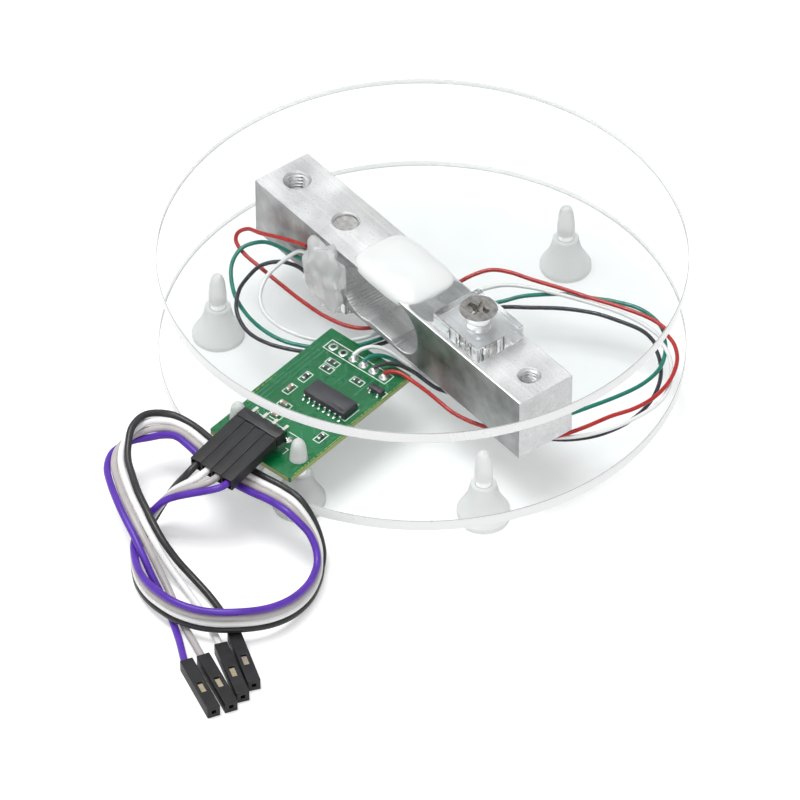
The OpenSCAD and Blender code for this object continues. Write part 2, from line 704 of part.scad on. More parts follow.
module header_pins() {
    reach = pin_y + board_l / 2;
    bend_h = (root_z + (pin_y - strip_y) * tan(droop) - deck_z - reach * sin(board_tilt)) / cos(board_tilt);
    color([0.85, 0.8, 0.65]) {
        on_board()
            for (i = [0:3])
                translate([pin_x(i) - pin_w / 2, pin_y - pin_w / 2, -board_t - 0.6])
                    cube([pin_w, pin_w, board_t + 0.6 + bend_h]);
        at_header()
            for (i = [0:3])
                translate([(i - 1.5) * pitch - pin_w / 2, -2 * clear, -pin_w / 2])
                    cube([pin_w, pin_y - strip_y + pin_w / 2 + clear, pin_w]);
        for (i = [0:3])
            at_plug(i)
                translate([-pin_w / 2, clear, -pin_w / 2])
                    cube([pin_w, 6, pin_w]);
    }
}

module socket_shell() {
    difference() {
        translate([-socket_w / 2, 0, -socket_w / 2])
            cube([socket_w, socket_l, socket_w]);
        translate([-0.95, 0.8, -0.95])
            cube([1.9, socket_l, 1.9]);
        translate([-0.4, -1, -0.4])
            cube([0.8, 3, 0.8]);
        translate([-0.55, 4.5, 0])
            cube([1.1, 2.6, 2]);
    }
}

module crimp_contact() {
    difference() {
        union() {
            translate([-0.85, 1, -0.85])
                cube([1.7, 6, 1.7]);
            translate([0, socket_l - wire_in - 2, 0])
                rotate([-90, 0, 0])
                    cylinder(r = 0.88, h = 3.5);
            translate([-0.5, 6.5, -0.85])
                cube([1, socket_l - wire_in - 8, 0.2]);
        }
        translate([-0.37, 0, -0.37])
            cube([0.74, 8, 0.74]);
        translate([0, socket_l - wire_in - 3, 0])
            rotate([-90, 0, 0])
                cylinder(r = jumper_d / 2 + 0.03, h = 6);
    }
}

module at_loose(i) {
    s = loose_sockets[i];
    translate([s[0], s[1], socket_w / 2 + clear])
        rotate([0, 0, 90 + s[2]])
            children();
}

module plug_shell(i) {
    color([0.05, 0.05, 0.06])
        at_plug(i)
            translate([0, socket_gap, 0])
                socket_shell();
}

module loose_shell(i) {
    color([0.05, 0.05, 0.06])
        at_loose(i)
            translate([0, 0, -clear])
                socket_shell();
}

module plug_black() {
    plug_shell(0);
}

module plug_white() {
    plug_shell(1);
}

module plug_grey() {
    plug_shell(2);
}

module plug_purple() {
    plug_shell(3);
}

module plug_contacts() {
    color([0.8, 0.72, 0.5])
        for (i = [0:3])
            at_plug(i)
                translate([0, socket_gap, 0])
                    crimp_contact();
}

module loose_black() {
    loose_shell(0);
}

module loose_white() {
    loose_shell(1);
}

module loose_grey() {
    loose_shell(2);
}

module loose_purple() {
    loose_shell(3);
}

module loose_contacts() {
    color([0.8, 0.72, 0.5])
        for (i = [0:3])
            at_loose(i)
                crimp_contact();
}

module jumper_black() {
    color([0.06, 0.06, 0.07])
        tube(jumper_route(0, black_start, black_tail), jumper_d, 80);
}

module jumper_white() {
    color([0.93, 0.93, 0.92])
        tube(jumper_route(1, white_start, white_tail), jumper_d, 80);
}

module jumper_grey() {
    color([0.55, 0.53, 0.52])
        tube(jumper_route(2, grey_start, grey_tail), jumper_d, 80);
}

module jumper_purple() {
    color([0.3, 0.1, 0.7])
        tube(jumper_route(3, purple_start, purple_tail), jumper_d, 80);
}

module lead_red() {
    color([0.75, 0.12, 0.1])
        tube(lead_route(exit_z[0], red_loop, 5), lead_d, 78);
}

module lead_white() {
    color([0.85, 0.85, 0.83])
        tube(lead_route(exit_z[1], white_loop, 2), lead_d, 78);
}

module lead_green() {
    color([0, 0.35, 0.32])
        tube(lead_route(exit_z[2], green_loop, 3), lead_d, 78);
}

module lead_black() {
    color([0.08, 0.08, 0.09])
        tube(lead_route(exit_z[3], black_loop, 4), lead_d, 78);
}

base_plate();
top_plate();
sensor_beam();
strain_gauges();
sealant_top();
sealant_bottom();
lead_sealant();
top_spacer();
base_spacer();
top_screw();
base_screw();
plate_foot_right();
plate_foot_back();
plate_foot_left();
board_foot_right();
board_foot_left();
circuit_board();
converter_chip();
chip_legs();
transistor();
transistor_legs();
resistors();
capacitors();
part_caps();
lead_joints();
pin_joints();
header_strip();
header_pins();
plug_black();
plug_white();
plug_grey();
plug_purple();
plug_contacts();
loose_black();
loose_white();
loose_grey();
loose_purple();
loose_contacts();
jumper_black();
jumper_white();
jumper_grey();
jumper_purple();
lead_red();
lead_white();
lead_green();
lead_black();
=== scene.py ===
"""Looks of a digital load cell: two clear plates, a beam, a converter board and its leads.

Lengths are written in millimetres and made into metres where a mesh is built.
The frame is that of the solids: X along the beam, Z up, the floor at Z = 0.
"""

import logging
import math
import random
from dataclasses import dataclass, field
from enum import Enum
from typing import Any, Callable, Iterable, Sequence

import bmesh
import bpy
from mathutils import Matrix, Vector, noise


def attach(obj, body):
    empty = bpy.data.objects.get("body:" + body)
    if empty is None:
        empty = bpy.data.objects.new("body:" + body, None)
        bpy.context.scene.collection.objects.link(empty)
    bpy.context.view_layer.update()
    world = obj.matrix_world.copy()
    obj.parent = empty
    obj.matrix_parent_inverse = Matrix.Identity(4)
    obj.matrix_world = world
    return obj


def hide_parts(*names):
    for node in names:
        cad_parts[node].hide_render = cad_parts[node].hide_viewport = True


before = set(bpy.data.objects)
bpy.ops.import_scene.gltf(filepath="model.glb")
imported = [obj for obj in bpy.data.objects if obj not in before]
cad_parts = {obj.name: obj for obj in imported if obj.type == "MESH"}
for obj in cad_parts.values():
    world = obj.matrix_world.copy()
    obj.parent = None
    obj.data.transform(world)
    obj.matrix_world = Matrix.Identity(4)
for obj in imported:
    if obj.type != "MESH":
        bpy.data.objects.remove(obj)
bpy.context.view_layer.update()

LOG = logging.getLogger("load_cell")
MM = 0.001
WHITE = (1.0, 1.0, 1.0)
LEAD_STEPS = 5

# Distances within which points are joined, in metres and, for an outline, in millimetres
WELD = 1e-7
OUTLINE_WELD = 1e-4

# Turns in degrees between the faces of a sharp edge and of one that is no edge at all
SHARP = 35.0
COPLANAR = 0.6

# How squarely a face has to lie to an axis to be level, a side, a bevel or a clear face
LEVEL = 0.99999
SIDE_FROM = 0.8
ARRIS_FROM = 0.3
FACE_FROM = 0.97

Colour = tuple[float, float, float]
Point = Sequence[float]


@dataclass(frozen=True)
class Stack:
    """Sizes that sub-parts share: heights from the floor up, the beam's middle and its screw holes."""

    base_low: float = 7.5
    base_high: float = 9.9
    beam_low: float = 13.4
    beam_high: float = 26.1
    lid_low: float = 29.6
    lid_high: float = 32.0
    beam_y: float = -2.6
    screw_x: float = 20.0
    base_hole: float = 2.65
    lid_hole: float = 2.25


STACK = Stack()


# Shader helpers


class Graph:
    """The nodes and links of one material or node group."""

    def __init__(self, tree: bpy.types.NodeTree) -> None:
        """Keeps the tree that nodes are put into."""
        self.tree = tree

    def put(self, kind: str, values: dict | None = None, **settings) -> bpy.types.Node:
        """Adds a node.

        Args:
            kind: Blender's name of the node type.
            values: constants or output sockets for its inputs, by name or number.
            settings: attributes of the node.

        Returns:
            The new node.
        """
        node = self.tree.nodes.new(kind)
        for name, value in settings.items():
            setattr(node, name, value)
        for key, value in (values or {}).items():
            socket = node.inputs[key]
            if isinstance(value, bpy.types.NodeSocket):
                self.tree.links.new(value, socket)
            elif isinstance(value, tuple) and len(value) == 3 and socket.type == "RGBA":
                socket.default_value = (*value, 1.0)
            else:
                socket.default_value = value
        return node

    def reckon(self, first, second, operation: str) -> bpy.types.NodeSocket:
        """What a math operation, such as a comparison, makes of two values."""
        return self.put("ShaderNodeMath", {0: first, 1: second}, operation=operation).outputs[0]

    def blend(self, share, first: bpy.types.NodeSocket,
              second: bpy.types.NodeSocket) -> bpy.types.NodeSocket:
        """A shader between two, by a share of the second."""
        return self.put("ShaderNodeMixShader", {0: share, 1: first, 2: second}).outputs[0]

    def facing(self, axis: str) -> bpy.types.NodeSocket:
        """How much the surface faces along one axis of the piece, from 0 to 1."""
        parts = self.put("ShaderNodeSeparateXYZ", {0: self.put("ShaderNodeTexCoord").outputs["Normal"]})
        return self.put("ShaderNodeMath", {0: parts.outputs[axis]}, operation="ABSOLUTE").outputs[0]

    def use(self, group: bpy.types.NodeTree, values: dict) -> bpy.types.Node:
        """Places a node group.

        Args:
            group: the group's tree.
            values: constants or output sockets for its inputs, by name.

        Returns:
            The group's node.
        """
        node = self.tree.nodes.new("ShaderNodeGroup")
        node.node_tree = group
        for key, value in values.items():
            if isinstance(value, bpy.types.NodeSocket):
                self.tree.links.new(value, node.inputs[key])
            else:
                node.inputs[key].default_value = value
        return node

    def object_place(self) -> bpy.types.NodeSocket:
        """The place on the piece, in the piece's own metres."""
        return self.put("ShaderNodeTexCoord").outputs["Object"]

    def mix(self, factor, low: Colour, high: Colour) -> bpy.types.NodeSocket:
        """A colour between two.

        Args:
            factor: the share of the second, from 0 to 1.
            low: the first colour.
            high: the second colour.

        Returns:
            The mixed colour.
        """
        node = self.put("ShaderNodeMix", data_type="RGBA")
        self.tree.links.new(factor, node.inputs[0])
        for socket, colour in ((node.inputs[6], low), (node.inputs[7], high)):
            if isinstance(colour, bpy.types.NodeSocket):
                self.tree.links.new(colour, socket)
            else:
                socket.default_value = (*colour, 1.0)
        return node.outputs[2]

    def span(self, value, low: float, high: float, start: float = 0.0,
             end: float = 1.0) -> bpy.types.NodeSocket:
        """A value from start to end mapped onto low to high."""
        keys = {"Value": value, "From Min": start, "From Max": end, "To Min": low, "To Max": high}
        return self.put("ShaderNodeMapRange", keys, clamp=True).outputs["Result"]


def new_group(name: str, inputs: dict[str, float],
              outputs: dict[str, str]) -> tuple[Graph, bpy.types.Node, bpy.types.Node]:
    """Starts a shader node group with named sockets.

    Args:
        name: the group's name.
        inputs: float inputs and their usual values.
        outputs: outputs and their socket types.

    Returns:
        The graph, its input node and its output node.
    """
    tree = bpy.data.node_groups.new(name, "ShaderNodeTree")
    for key, value in inputs.items():
        tree.interface.new_socket(key, in_out="INPUT", socket_type="NodeSocketFloat").default_value = value
    for key, kind in outputs.items():
        tree.interface.new_socket(key, in_out="OUTPUT", socket_type=kind)
    graph = Graph(tree)
    return graph, tree.nodes.new("NodeGroupInput"), tree.nodes.new("NodeGroupOutput")


class Effects:
    """The node groups that the finishes share."""

    def __init__(self) -> None:
        """Builds each group once."""
        self.blotches = self._blotches()
        self.scuffs = self._scuffs()
        self.grain = self._grain()

    def _blotches(self) -> bpy.types.NodeTree:
        """Soft uneven patches, as of handling and age."""
        graph, given, made = new_group(
            "blotches", {"Scale": 200.0, "Low": 0.35, "High": 0.65}, {"Mask": "NodeSocketFloat"})
        keys = {"Vector": graph.object_place(), "Scale": given.outputs["Scale"], "Detail": 5.0,
                "Roughness": 0.6}
        cloud = graph.put("ShaderNodeTexNoise", keys)
        ends = {"Value": cloud.outputs["Fac"], "From Min": given.outputs["Low"],
                "From Max": given.outputs["High"]}
        spread = graph.put("ShaderNodeMapRange", ends, clamp=True)
        graph.tree.links.new(spread.outputs["Result"], made.inputs["Mask"])
        return graph.tree

    def _scuffs(self) -> bpy.types.NodeTree:
        """Thin marks that run mostly one way, with a mask and a height."""
        graph, given, made = new_group(
            "scuffs", {"Scale": 900.0, "Stretch": 0.04, "Amount": 0.5},
            {"Mask": "NodeSocketFloat", "Height": "NodeSocketFloat"})
        squeeze = graph.put("ShaderNodeCombineXYZ", {"X": given.outputs["Stretch"], "Y": 1.0, "Z": 1.0})
        keys = {"Vector": graph.object_place(), "Scale": squeeze.outputs[0]}
        lie = graph.put("ShaderNodeMapping", keys)
        keys = {"Vector": lie.outputs[0], "Scale": given.outputs["Scale"], "Detail": 4.0, "Roughness": 0.7}
        lines = graph.put("ShaderNodeTexNoise", keys)
        floor = graph.put("ShaderNodeMath", {0: 0.75, 1: given.outputs["Amount"]}, operation="SUBTRACT")
        ends = {"Value": lines.outputs["Fac"], "From Min": floor.outputs[0], "From Max": 0.85}
        mask = graph.put("ShaderNodeMapRange", ends, clamp=True)
        graph.tree.links.new(mask.outputs["Result"], made.inputs["Mask"])
        graph.tree.links.new(lines.outputs["Fac"], made.inputs["Height"])
        return graph.tree

    def _grain(self) -> bpy.types.NodeTree:
        """Fine all-over texture: a height and a mask of its low spots."""
        graph, given, made = new_group(
            "grain", {"Scale": 3000.0, "Coarse": 400.0, "Share": 0.4},
            {"Height": "NodeSocketFloat", "Pits": "NodeSocketFloat"})
        place = graph.object_place()
        fine = graph.put("ShaderNodeTexNoise", {"Vector": place, "Scale": given.outputs["Scale"],
                                                "Detail": 3.0})
        broad = graph.put("ShaderNodeTexNoise", {"Vector": place, "Scale": given.outputs["Coarse"],
                                                 "Detail": 3.0})
        blend = graph.put("ShaderNodeMix", {0: given.outputs["Share"], 2: fine.outputs["Fac"],
                                            3: broad.outputs["Fac"]})
        low = graph.span(fine.outputs["Fac"], 1.0, 0.0, 0.28, 0.4)
        graph.tree.links.new(blend.outputs[0], made.inputs["Height"])
        graph.tree.links.new(low, made.inputs["Pits"])
        return graph.tree


EFFECTS = Effects()


@dataclass(frozen=True)
class Finish:
    """One surface finish, made into a material the first time that it is worn."""

    name: str
    base: Colour
    second: Colour | None = None
    patch: float = 250.0
    roughness: tuple[float, float] = (0.35, 0.5)
    metallic: float = 0.0
    grain: float = 2500.0
    bump: float = 0.08
    scuff: float = 0.0
    scuff_colour: Colour = (0.8, 0.8, 0.8)
    pits: Colour | None = None
    coat: float = 0.0
    sheen: float = 0.0
    subsurface: float = 0.0
    transmission: float = 0.0
    ior: float = 1.5
    clear_shadow: bool = False
    rim: Colour | None = None
    # Colour painted on faces that face along Y: a painted shade that darkens the sides
    side: Colour | None = None
    # Painted shade: a dark line colour on the bevels of the rims
    painted_rim_shade: Colour = (0.3, 0.31, 0.31)
    rim_clear: float = 0.3
    # Painted light: the rims glow white though they are no lamp
    painted_rim_glow: float = 0.25
    rim_roughness: tuple[float, float] = (0.2, 0.35)
    gleam: float = 0.006
    gleam_roughness: float = 0.03
    shadow_tint: Colour = (0.9, 0.9, 0.9)

    def material(self) -> bpy.types.Material:
        """The finish as a material, built once and then found by its name."""
        known = bpy.data.materials.get(self.name)
        return known or self._build()

    def _build(self) -> bpy.types.Material:
        """Builds the shader of patches, scuffs and grain, with a painted shade on the sides where a side
        colour is given.
        """
        material = bpy.data.materials.new(self.name)
        material.use_nodes = True
        material.node_tree.nodes.clear()
        graph = Graph(material.node_tree)
        patches = graph.use(EFFECTS.blotches, {"Scale": self.patch, "Low": 0.3,
                                               "High": 0.7}).outputs["Mask"]
        grain = graph.use(EFFECTS.grain, {"Scale": self.grain, "Coarse": self.grain / 7, "Share": 0.4})
        colour = graph.mix(patches, self.base, self.second or self.base)
        height = grain.outputs["Height"]
        if self.scuff:
            marks = graph.use(EFFECTS.scuffs, {"Amount": self.scuff})
            colour = graph.mix(marks.outputs["Mask"], colour, self.scuff_colour)
            height = graph.reckon(height, marks.outputs["Height"], "ADD")
        if self.pits:
            colour = graph.mix(grain.outputs["Pits"], colour, self.pits)
        # Painted shade: faces turned along Y take the darker side colour
        if self.side:
            shaded_side_mask = graph.reckon(graph.facing("Y"), SIDE_FROM, "GREATER_THAN")
            colour = graph.mix(shaded_side_mask, colour, graph.mix(patches, self.side, self.base))
        bump = graph.put("ShaderNodeBump", {"Height": height, "Strength": self.bump, "Distance": 0.0002})
        values = {
            "Base Color": colour,
            "Roughness": graph.span(patches, *self.roughness),
            "Normal": bump.outputs["Normal"],
            "Metallic": self.metallic,
            "IOR": self.ior,
            "Coat Weight": self.coat,
            "Coat Roughness": 0.15,
            "Sheen Weight": self.sheen,
            "Subsurface Weight": self.subsurface,
            "Transmission Weight": self.transmission,
        }
        if self.rim:
            surface = self._see_through(graph, values, patches)
        else:
            shader = graph.put("ShaderNodeBsdfPrincipled", values)
            shader.inputs["Subsurface Radius"].default_value = (0.002, 0.002, 0.0018)
            surface = shader.outputs[0]
        if self.clear_shadow:
            surface = self._lit_through(graph, surface)
        graph.put("ShaderNodeOutputMaterial", {"Surface": surface})
        return material

    def _see_through(self, graph: Graph, values: dict[str, Any],
                     patches: bpy.types.NodeSocket) -> bpy.types.NodeSocket:
        """Clear faces that bend the view, with whitish cut rims lit further by a painted glow, and a
        painted dark line on their bevels.

        Args:
            graph: the material's graph.
            values: colour, roughness and normal of the surface.
            patches: mask of the slight patches.

        Returns:
            The shader.
        """
        bent = graph.put("ShaderNodeBsdfRefraction", {
            "Color": values["Base Color"],
            "Roughness": values["Roughness"],
            "IOR": self.ior,
            "Normal": values["Normal"],
        })
        gloss = graph.put("ShaderNodeBsdfGlossy", {"Color": WHITE, "Roughness": self.gleam_roughness})
        face = graph.blend(self.gleam, bent.outputs[0], gloss.outputs[0])
        level = graph.facing("Z")
        # Painted shade: the bevels of the rims take the dark line colour
        shade_line_mask = graph.reckon(level, ARRIS_FROM, "GREATER_THAN")
        whole = dict(values)
        whole["Base Color"] = graph.mix(shade_line_mask, self.rim, self.painted_rim_shade)
        # Painted light: a white glow on the rims
        whole["Emission Color"] = WHITE
        whole["Emission Strength"] = self.painted_rim_glow
        whole["Roughness"] = graph.span(patches, *self.rim_roughness)
        whole["Transmission Weight"] = self.rim_clear
        cut_rim = graph.put("ShaderNodeBsdfPrincipled", whole)
        is_rim = graph.reckon(level, FACE_FROM, "LESS_THAN")
        return graph.blend(is_rim, face, cut_rim.outputs[0])

    def _lit_through(self, graph: Graph, surface: bpy.types.NodeSocket) -> bpy.types.NodeSocket:
        """Lets the lamps shine through a clear piece.

        Args:
            graph: the material's graph.
            surface: the shader as the eye sees it.

        Returns:
            The shader with a clear one for shadow and diffuse rays.
        """
        path = graph.put("ShaderNodeLightPath")
        either = graph.reckon(path.outputs["Is Shadow Ray"], path.outputs["Is Diffuse Ray"], "MAXIMUM")
        clear = graph.put("ShaderNodeBsdfTransparent", {"Color": self.shadow_tint})
        return graph.blend(either, surface, clear.outputs[0])


class Finishes:
    """The finishes of the object's pieces."""

    sheet = Finish("clear_acrylic", (0.945, 0.95, 0.95), (0.965, 0.968, 0.968), 60, (0.0, 0.03),
                   bump=0.004, transmission=1.0, ior=1.49, clear_shadow=True, rim=(0.93, 0.94, 0.94),
                   shadow_tint=(0.95, 0.96, 0.96))
    spacer = Finish("spacer_acrylic", (0.95, 0.96, 0.97), (0.98, 0.985, 0.99), 300, (0.02, 0.1), bump=0.02,
                    transmission=1.0, ior=1.49, clear_shadow=True, shadow_tint=(0.88, 0.89, 0.9))
    # The beam's near and far sides get a painted shade through side
    beam = Finish("sawn_aluminium", (0.56, 0.56, 0.565), (0.7, 0.7, 0.705), 120, (0.3, 0.48),
                  metallic=1.0, grain=2600, bump=0.3, scuff=0.3, scuff_colour=(0.8, 0.8, 0.8),
                  pits=(0.42, 0.42, 0.42), side=(0.17, 0.175, 0.17))
    steel = Finish("plated_steel", (0.36, 0.35, 0.335), (0.66, 0.65, 0.63), 700, (0.08, 0.2),
                   metallic=1.0, bump=0.12, scuff=0.3, scuff_colour=(0.8, 0.79, 0.77))
    silicone = Finish("white_silicone", (0.9, 0.9, 0.89), (0.95, 0.95, 0.95), 180, (0.14, 0.28),
                      grain=900, bump=0.12, coat=0.3, subsurface=0.15)
    smear = Finish("clear_smear", (0.86, 0.87, 0.88), (0.93, 0.94, 0.95), 400, (0.08, 0.3), grain=900,
                   bump=0.4, transmission=0.85, ior=1.42, clear_shadow=True)
    glue = Finish("cloudy_glue", (0.95, 0.95, 0.95), (1.0, 1.0, 1.0), 400, (0.05, 0.18), grain=500,
                  bump=0.6, transmission=0.6, ior=1.3, subsurface=0.2, clear_shadow=True)
    foil = Finish("gauge_foil", (0.75, 0.5, 0.25), (0.62, 0.55, 0.4), 900, (0.3, 0.45), metallic=0.7)
    foot = Finish("clear_rubber", (0.99, 0.99, 0.98), (1.0, 1.0, 1.0), 250, (0.3, 0.45), grain=900,
                  bump=0.1, transmission=0.5, ior=1.3, subsurface=0.2, clear_shadow=True,
                  shadow_tint=(0.85, 0.85, 0.84))
    mask = Finish("green_mask", (0.0, 0.125, 0.034), (0.0, 0.16, 0.048), 160, (0.22, 0.34), grain=1500,
                  bump=0.04, coat=0.1)
    trace = Finish("masked_copper", (0.01, 0.17, 0.07), (0.02, 0.21, 0.09), 500, (0.22, 0.34), bump=0.04,
                   coat=0.1)
    core = Finish("board_core", (0.32, 0.38, 0.12), (0.45, 0.5, 0.2), 900, (0.5, 0.65), bump=0.3)
    silk = Finish("white_print", (0.95, 0.97, 0.95), (0.8, 0.85, 0.8), 900, (0.5, 0.65), bump=0.05)
    score = Finish("yellow_score", (0.55, 0.6, 0.05), (0.3, 0.45, 0.05), 900, (0.4, 0.55), bump=0.1)
    solder = Finish("tinned_solder", (0.7, 0.7, 0.7), (0.86, 0.86, 0.86), 700, (0.12, 0.28), metallic=1.0,
                    bump=0.06)
    chip = Finish("moulded_resin", (0.022, 0.021, 0.026), (0.036, 0.035, 0.042), 400, (0.45, 0.6),
                  bump=0.12)
    resistor = Finish("black_glaze", (0.03, 0.03, 0.032), (0.06, 0.06, 0.06), 900, (0.25, 0.4), bump=0.08)
    ceramic = Finish("fired_ceramic", (0.3, 0.22, 0.17), (0.38, 0.29, 0.22), 900, (0.4, 0.55), bump=0.08)
    socket = Finish("black_housing", (0.005, 0.005, 0.006), (0.011, 0.011, 0.013), 300, (0.4, 0.55),
                    bump=0.1, scuff=0.12, scuff_colour=(0.05, 0.05, 0.055))
    contact = Finish("gilt_contact", (0.72, 0.58, 0.34), (0.82, 0.76, 0.62), 700, (0.16, 0.3),
                     metallic=1.0, bump=0.05)
    pin = Finish("tinned_pin", (0.75, 0.74, 0.7), (0.86, 0.85, 0.83), 700, (0.12, 0.26), metallic=1.0,
                 bump=0.05)

    @staticmethod
    def jacket(name: str, base: Colour, second: Colour, gloss: float = 0.3) -> Finish:
        """The soft jacket of one lead, in its own colours."""
        return Finish(name, base, second, 300, (gloss, gloss + 0.14), grain=1400, bump=0.06, sheen=0.05)


# Mesh helpers


def smooth_by_angle(mesh: bpy.types.Mesh, degrees: float = 32.0) -> None:
    """Shades a mesh smooth, but keeps level and upright faces flat and sharp edges sharp.

    Args:
        mesh: the mesh to shade.
        degrees: the turn from which an edge stays sharp.
    """
    shape = bmesh.new()
    shape.from_mesh(mesh)
    limit = math.radians(degrees)
    for face in shape.faces:
        face.smooth = max(abs(part) for part in face.normal) < LEVEL
    for edge in shape.edges:
        edge.smooth = len(edge.link_faces) == 2 and edge.calc_face_angle(0.0) < limit
    shape.to_mesh(mesh)
    shape.free()


def finish_piece(name: str, shape: bmesh.types.BMesh, finish: Finish, place: Matrix | None = None,
                 degrees: float = 32.0) -> bpy.types.Object:
    """Makes a welded, shaded and dressed object of a shape in millimetres, and frees the shape.

    Args:
        name: the object's name.
        shape: the geometry, in millimetres.
        finish: what it is dressed in.
        place: where the shape lies in the object's frame, in millimetres.
        degrees: the turn from which an edge stays sharp.

    Returns:
        The object, in metres, riding on the part.
    """
    bmesh.ops.transform(shape, matrix=Matrix.Scale(MM, 4) @ (place or Matrix()), verts=shape.verts)
    bmesh.ops.remove_doubles(shape, verts=shape.verts, dist=WELD)
    bmesh.ops.recalc_face_normals(shape, faces=shape.faces)
    mesh = bpy.data.meshes.new(name)
    shape.to_mesh(mesh)
    shape.free()
    smooth_by_angle(mesh, degrees)
    piece = bpy.data.objects.new(name, mesh)
    bpy.context.scene.collection.objects.link(piece)
    piece.data.materials.append(finish.material())
    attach(piece, "root")
    return piece


def add_lathe(shape: bmesh.types.BMesh, profile: Sequence[Point], sides: int = 64,
              at: Point = (0, 0, 0)) -> None:
    """Turns a profile of radius and height pairs about Z.

    Args:
        shape: what the surface is added to.
        profile: radius and height of each ring, the first and last often at radius 0.
        sides: how many sides a ring has.
        at: where the axis stands.
    """
    rings = []
    for radius, height in profile:
        if radius < 1e-6:
            rings.append([shape.verts.new((at[0], at[1], at[2] + height))])
            continue
        turn = [2 * math.pi * k / sides for k in range(sides)]
        rings.append([shape.verts.new(
            (at[0] + radius * math.cos(a), at[1] + radius * math.sin(a), at[2] + height)) for a in turn])
    for low, high in zip(rings, rings[1:]):
        for k in range(sides):
            ends = [low[k % len(low)], low[(k + 1) % len(low)], high[(k + 1) % len(high)],
                    high[k % len(high)]]
            corners = list(dict.fromkeys(ends))
            if len(corners) > 2:
                shape.faces.new(corners)


def add_box(shape: bmesh.types.BMesh, low: Point, high: Point, place: Matrix | None = None) -> None:
    """Adds a box between two corners, moved by a matrix if one is given."""
    middle = [(a + b) / 2 for a, b in zip(low, high)]
    size = [b - a for a, b in zip(low, high)]
    matrix = (place or Matrix()) @ Matrix.Translation(middle) @ Matrix.Diagonal((*size, 1))
    bmesh.ops.create_cube(shape, size=1.0, matrix=matrix)


def add_thread(shape: bmesh.types.BMesh, inner: float, outer: float, pitch: float, low: float, high: float,
               at: Point, sides: int = 40, steps: int = 8) -> None:
    """Adds a threaded rod with its true helix along Z.

    Args:
        shape: what the rod is added to.
        inner: radius at the thread's root.
        outer: radius at its crest.
        pitch: advance of one turn.
        low: height of the lower end.
        high: height of the upper end.
        at: X and Y of the axis.
        sides: sides of a ring.
        steps: rings in one pitch.
    """
    count = max(4, round((high - low) / pitch * steps))
    rings = []
    for i in range(count + 1):
        z = low + (high - low) * i / count
        ring = []
        for k in range(sides):
            phase = (z / pitch - k / sides) % 1.0
            radius = inner + (outer - inner) * min(1.0, 2.6 * min(phase, 1 - phase))
            turn = 2 * math.pi * k / sides
            ring.append(shape.verts.new((at[0] + radius * math.cos(turn), at[1] + radius * math.sin(turn),
                                         z)))
        rings.append(ring)
    for low_ring, high_ring in zip(rings, rings[1:]):
        for k in range(sides):
            n = (k + 1) % sides
            shape.faces.new((low_ring[k], low_ring[n], high_ring[n], high_ring[k]))
    shape.faces.new(list(reversed(rings[0])))
    shape.faces.new(rings[-1])


def circle(x: float, y: float, radius: float, count: int) -> list[Point]:
    """Points of a circle, counter-clockwise."""
    return [(x + radius * math.cos(2 * math.pi * k / count), y + radius * math.sin(2 * math.pi * k / count))
            for k in range(count)]


def rounded_rectangle(low: Point, high: Point, radius: float, steps: int = 5) -> list[Point]:
    """Points of a rectangle with round corners, counter-clockwise.

    Args:
        low: the lower left corner.
        high: the upper right corner.
        radius: radius of each corner.
        steps: steps of each corner.

    Returns:
        The points.
    """
    points = []
    corners = ((high[0], high[1], 0), (low[0], high[1], 90), (low[0], low[1], 180), (high[0], low[1], 270))
    for x, y, start in corners:
        cx = x - radius if x == high[0] else x + radius
        cy = y - radius if y == high[1] else y + radius
        for k in range(steps + 1):
            a = math.radians(start + 90 * k / steps)
            points.append((cx + radius * math.cos(a), cy + radius * math.sin(a)))
    return points


def squircle(u: float, v: float) -> float:
    """How far a place is from the middle of a square with very round corners, 1 on its rim."""
    return (abs(u) ** 4 + abs(v) ** 4) ** 0.25


def slab(loops: Sequence[Sequence[Point]], low: float, high: float, round_edge: float) -> bmesh.types.BMesh:
    """A flat plate with holes and rounded edges.

    Args:
        loops: the outline first, then each hole, in millimetres.
        low: height of the lower face.
        high: height of the upper face.
        round_edge: radius along every edge.

    Returns:
        The plate as a shape in millimetres.
    """
    curve = bpy.data.curves.new("outline", "CURVE")
    curve.dimensions = "2D"
    curve.fill_mode = "BOTH"
    curve.extrude = (high - low) / 2 - round_edge
    curve.bevel_depth = round_edge
    curve.bevel_resolution = 3
    curve.offset = -round_edge
    for loop in loops:
        spline = curve.splines.new("POLY")
        spline.points.add(len(loop) - 1)
        for point, (x, y) in zip(spline.points, loop):
            point.co = (x, y, 0, 1)
        spline.use_cyclic_u = True
    holder = bpy.data.objects.new("outline", curve)
    bpy.context.scene.collection.objects.link(holder)
    view = bpy.context.evaluated_depsgraph_get()
    mesh = bpy.data.meshes.new_from_object(holder.evaluated_get(view))
    shape = bmesh.new()
    shape.from_mesh(mesh)
    bmesh.ops.translate(shape, vec=(0, 0, (low + high) / 2), verts=shape.verts)
    bmesh.ops.remove_doubles(shape, verts=shape.verts, dist=OUTLINE_WELD)
    bpy.data.objects.remove(holder)
    bpy.data.curves.remove(curve)
    bpy.data.meshes.remove(mesh)
    return shape


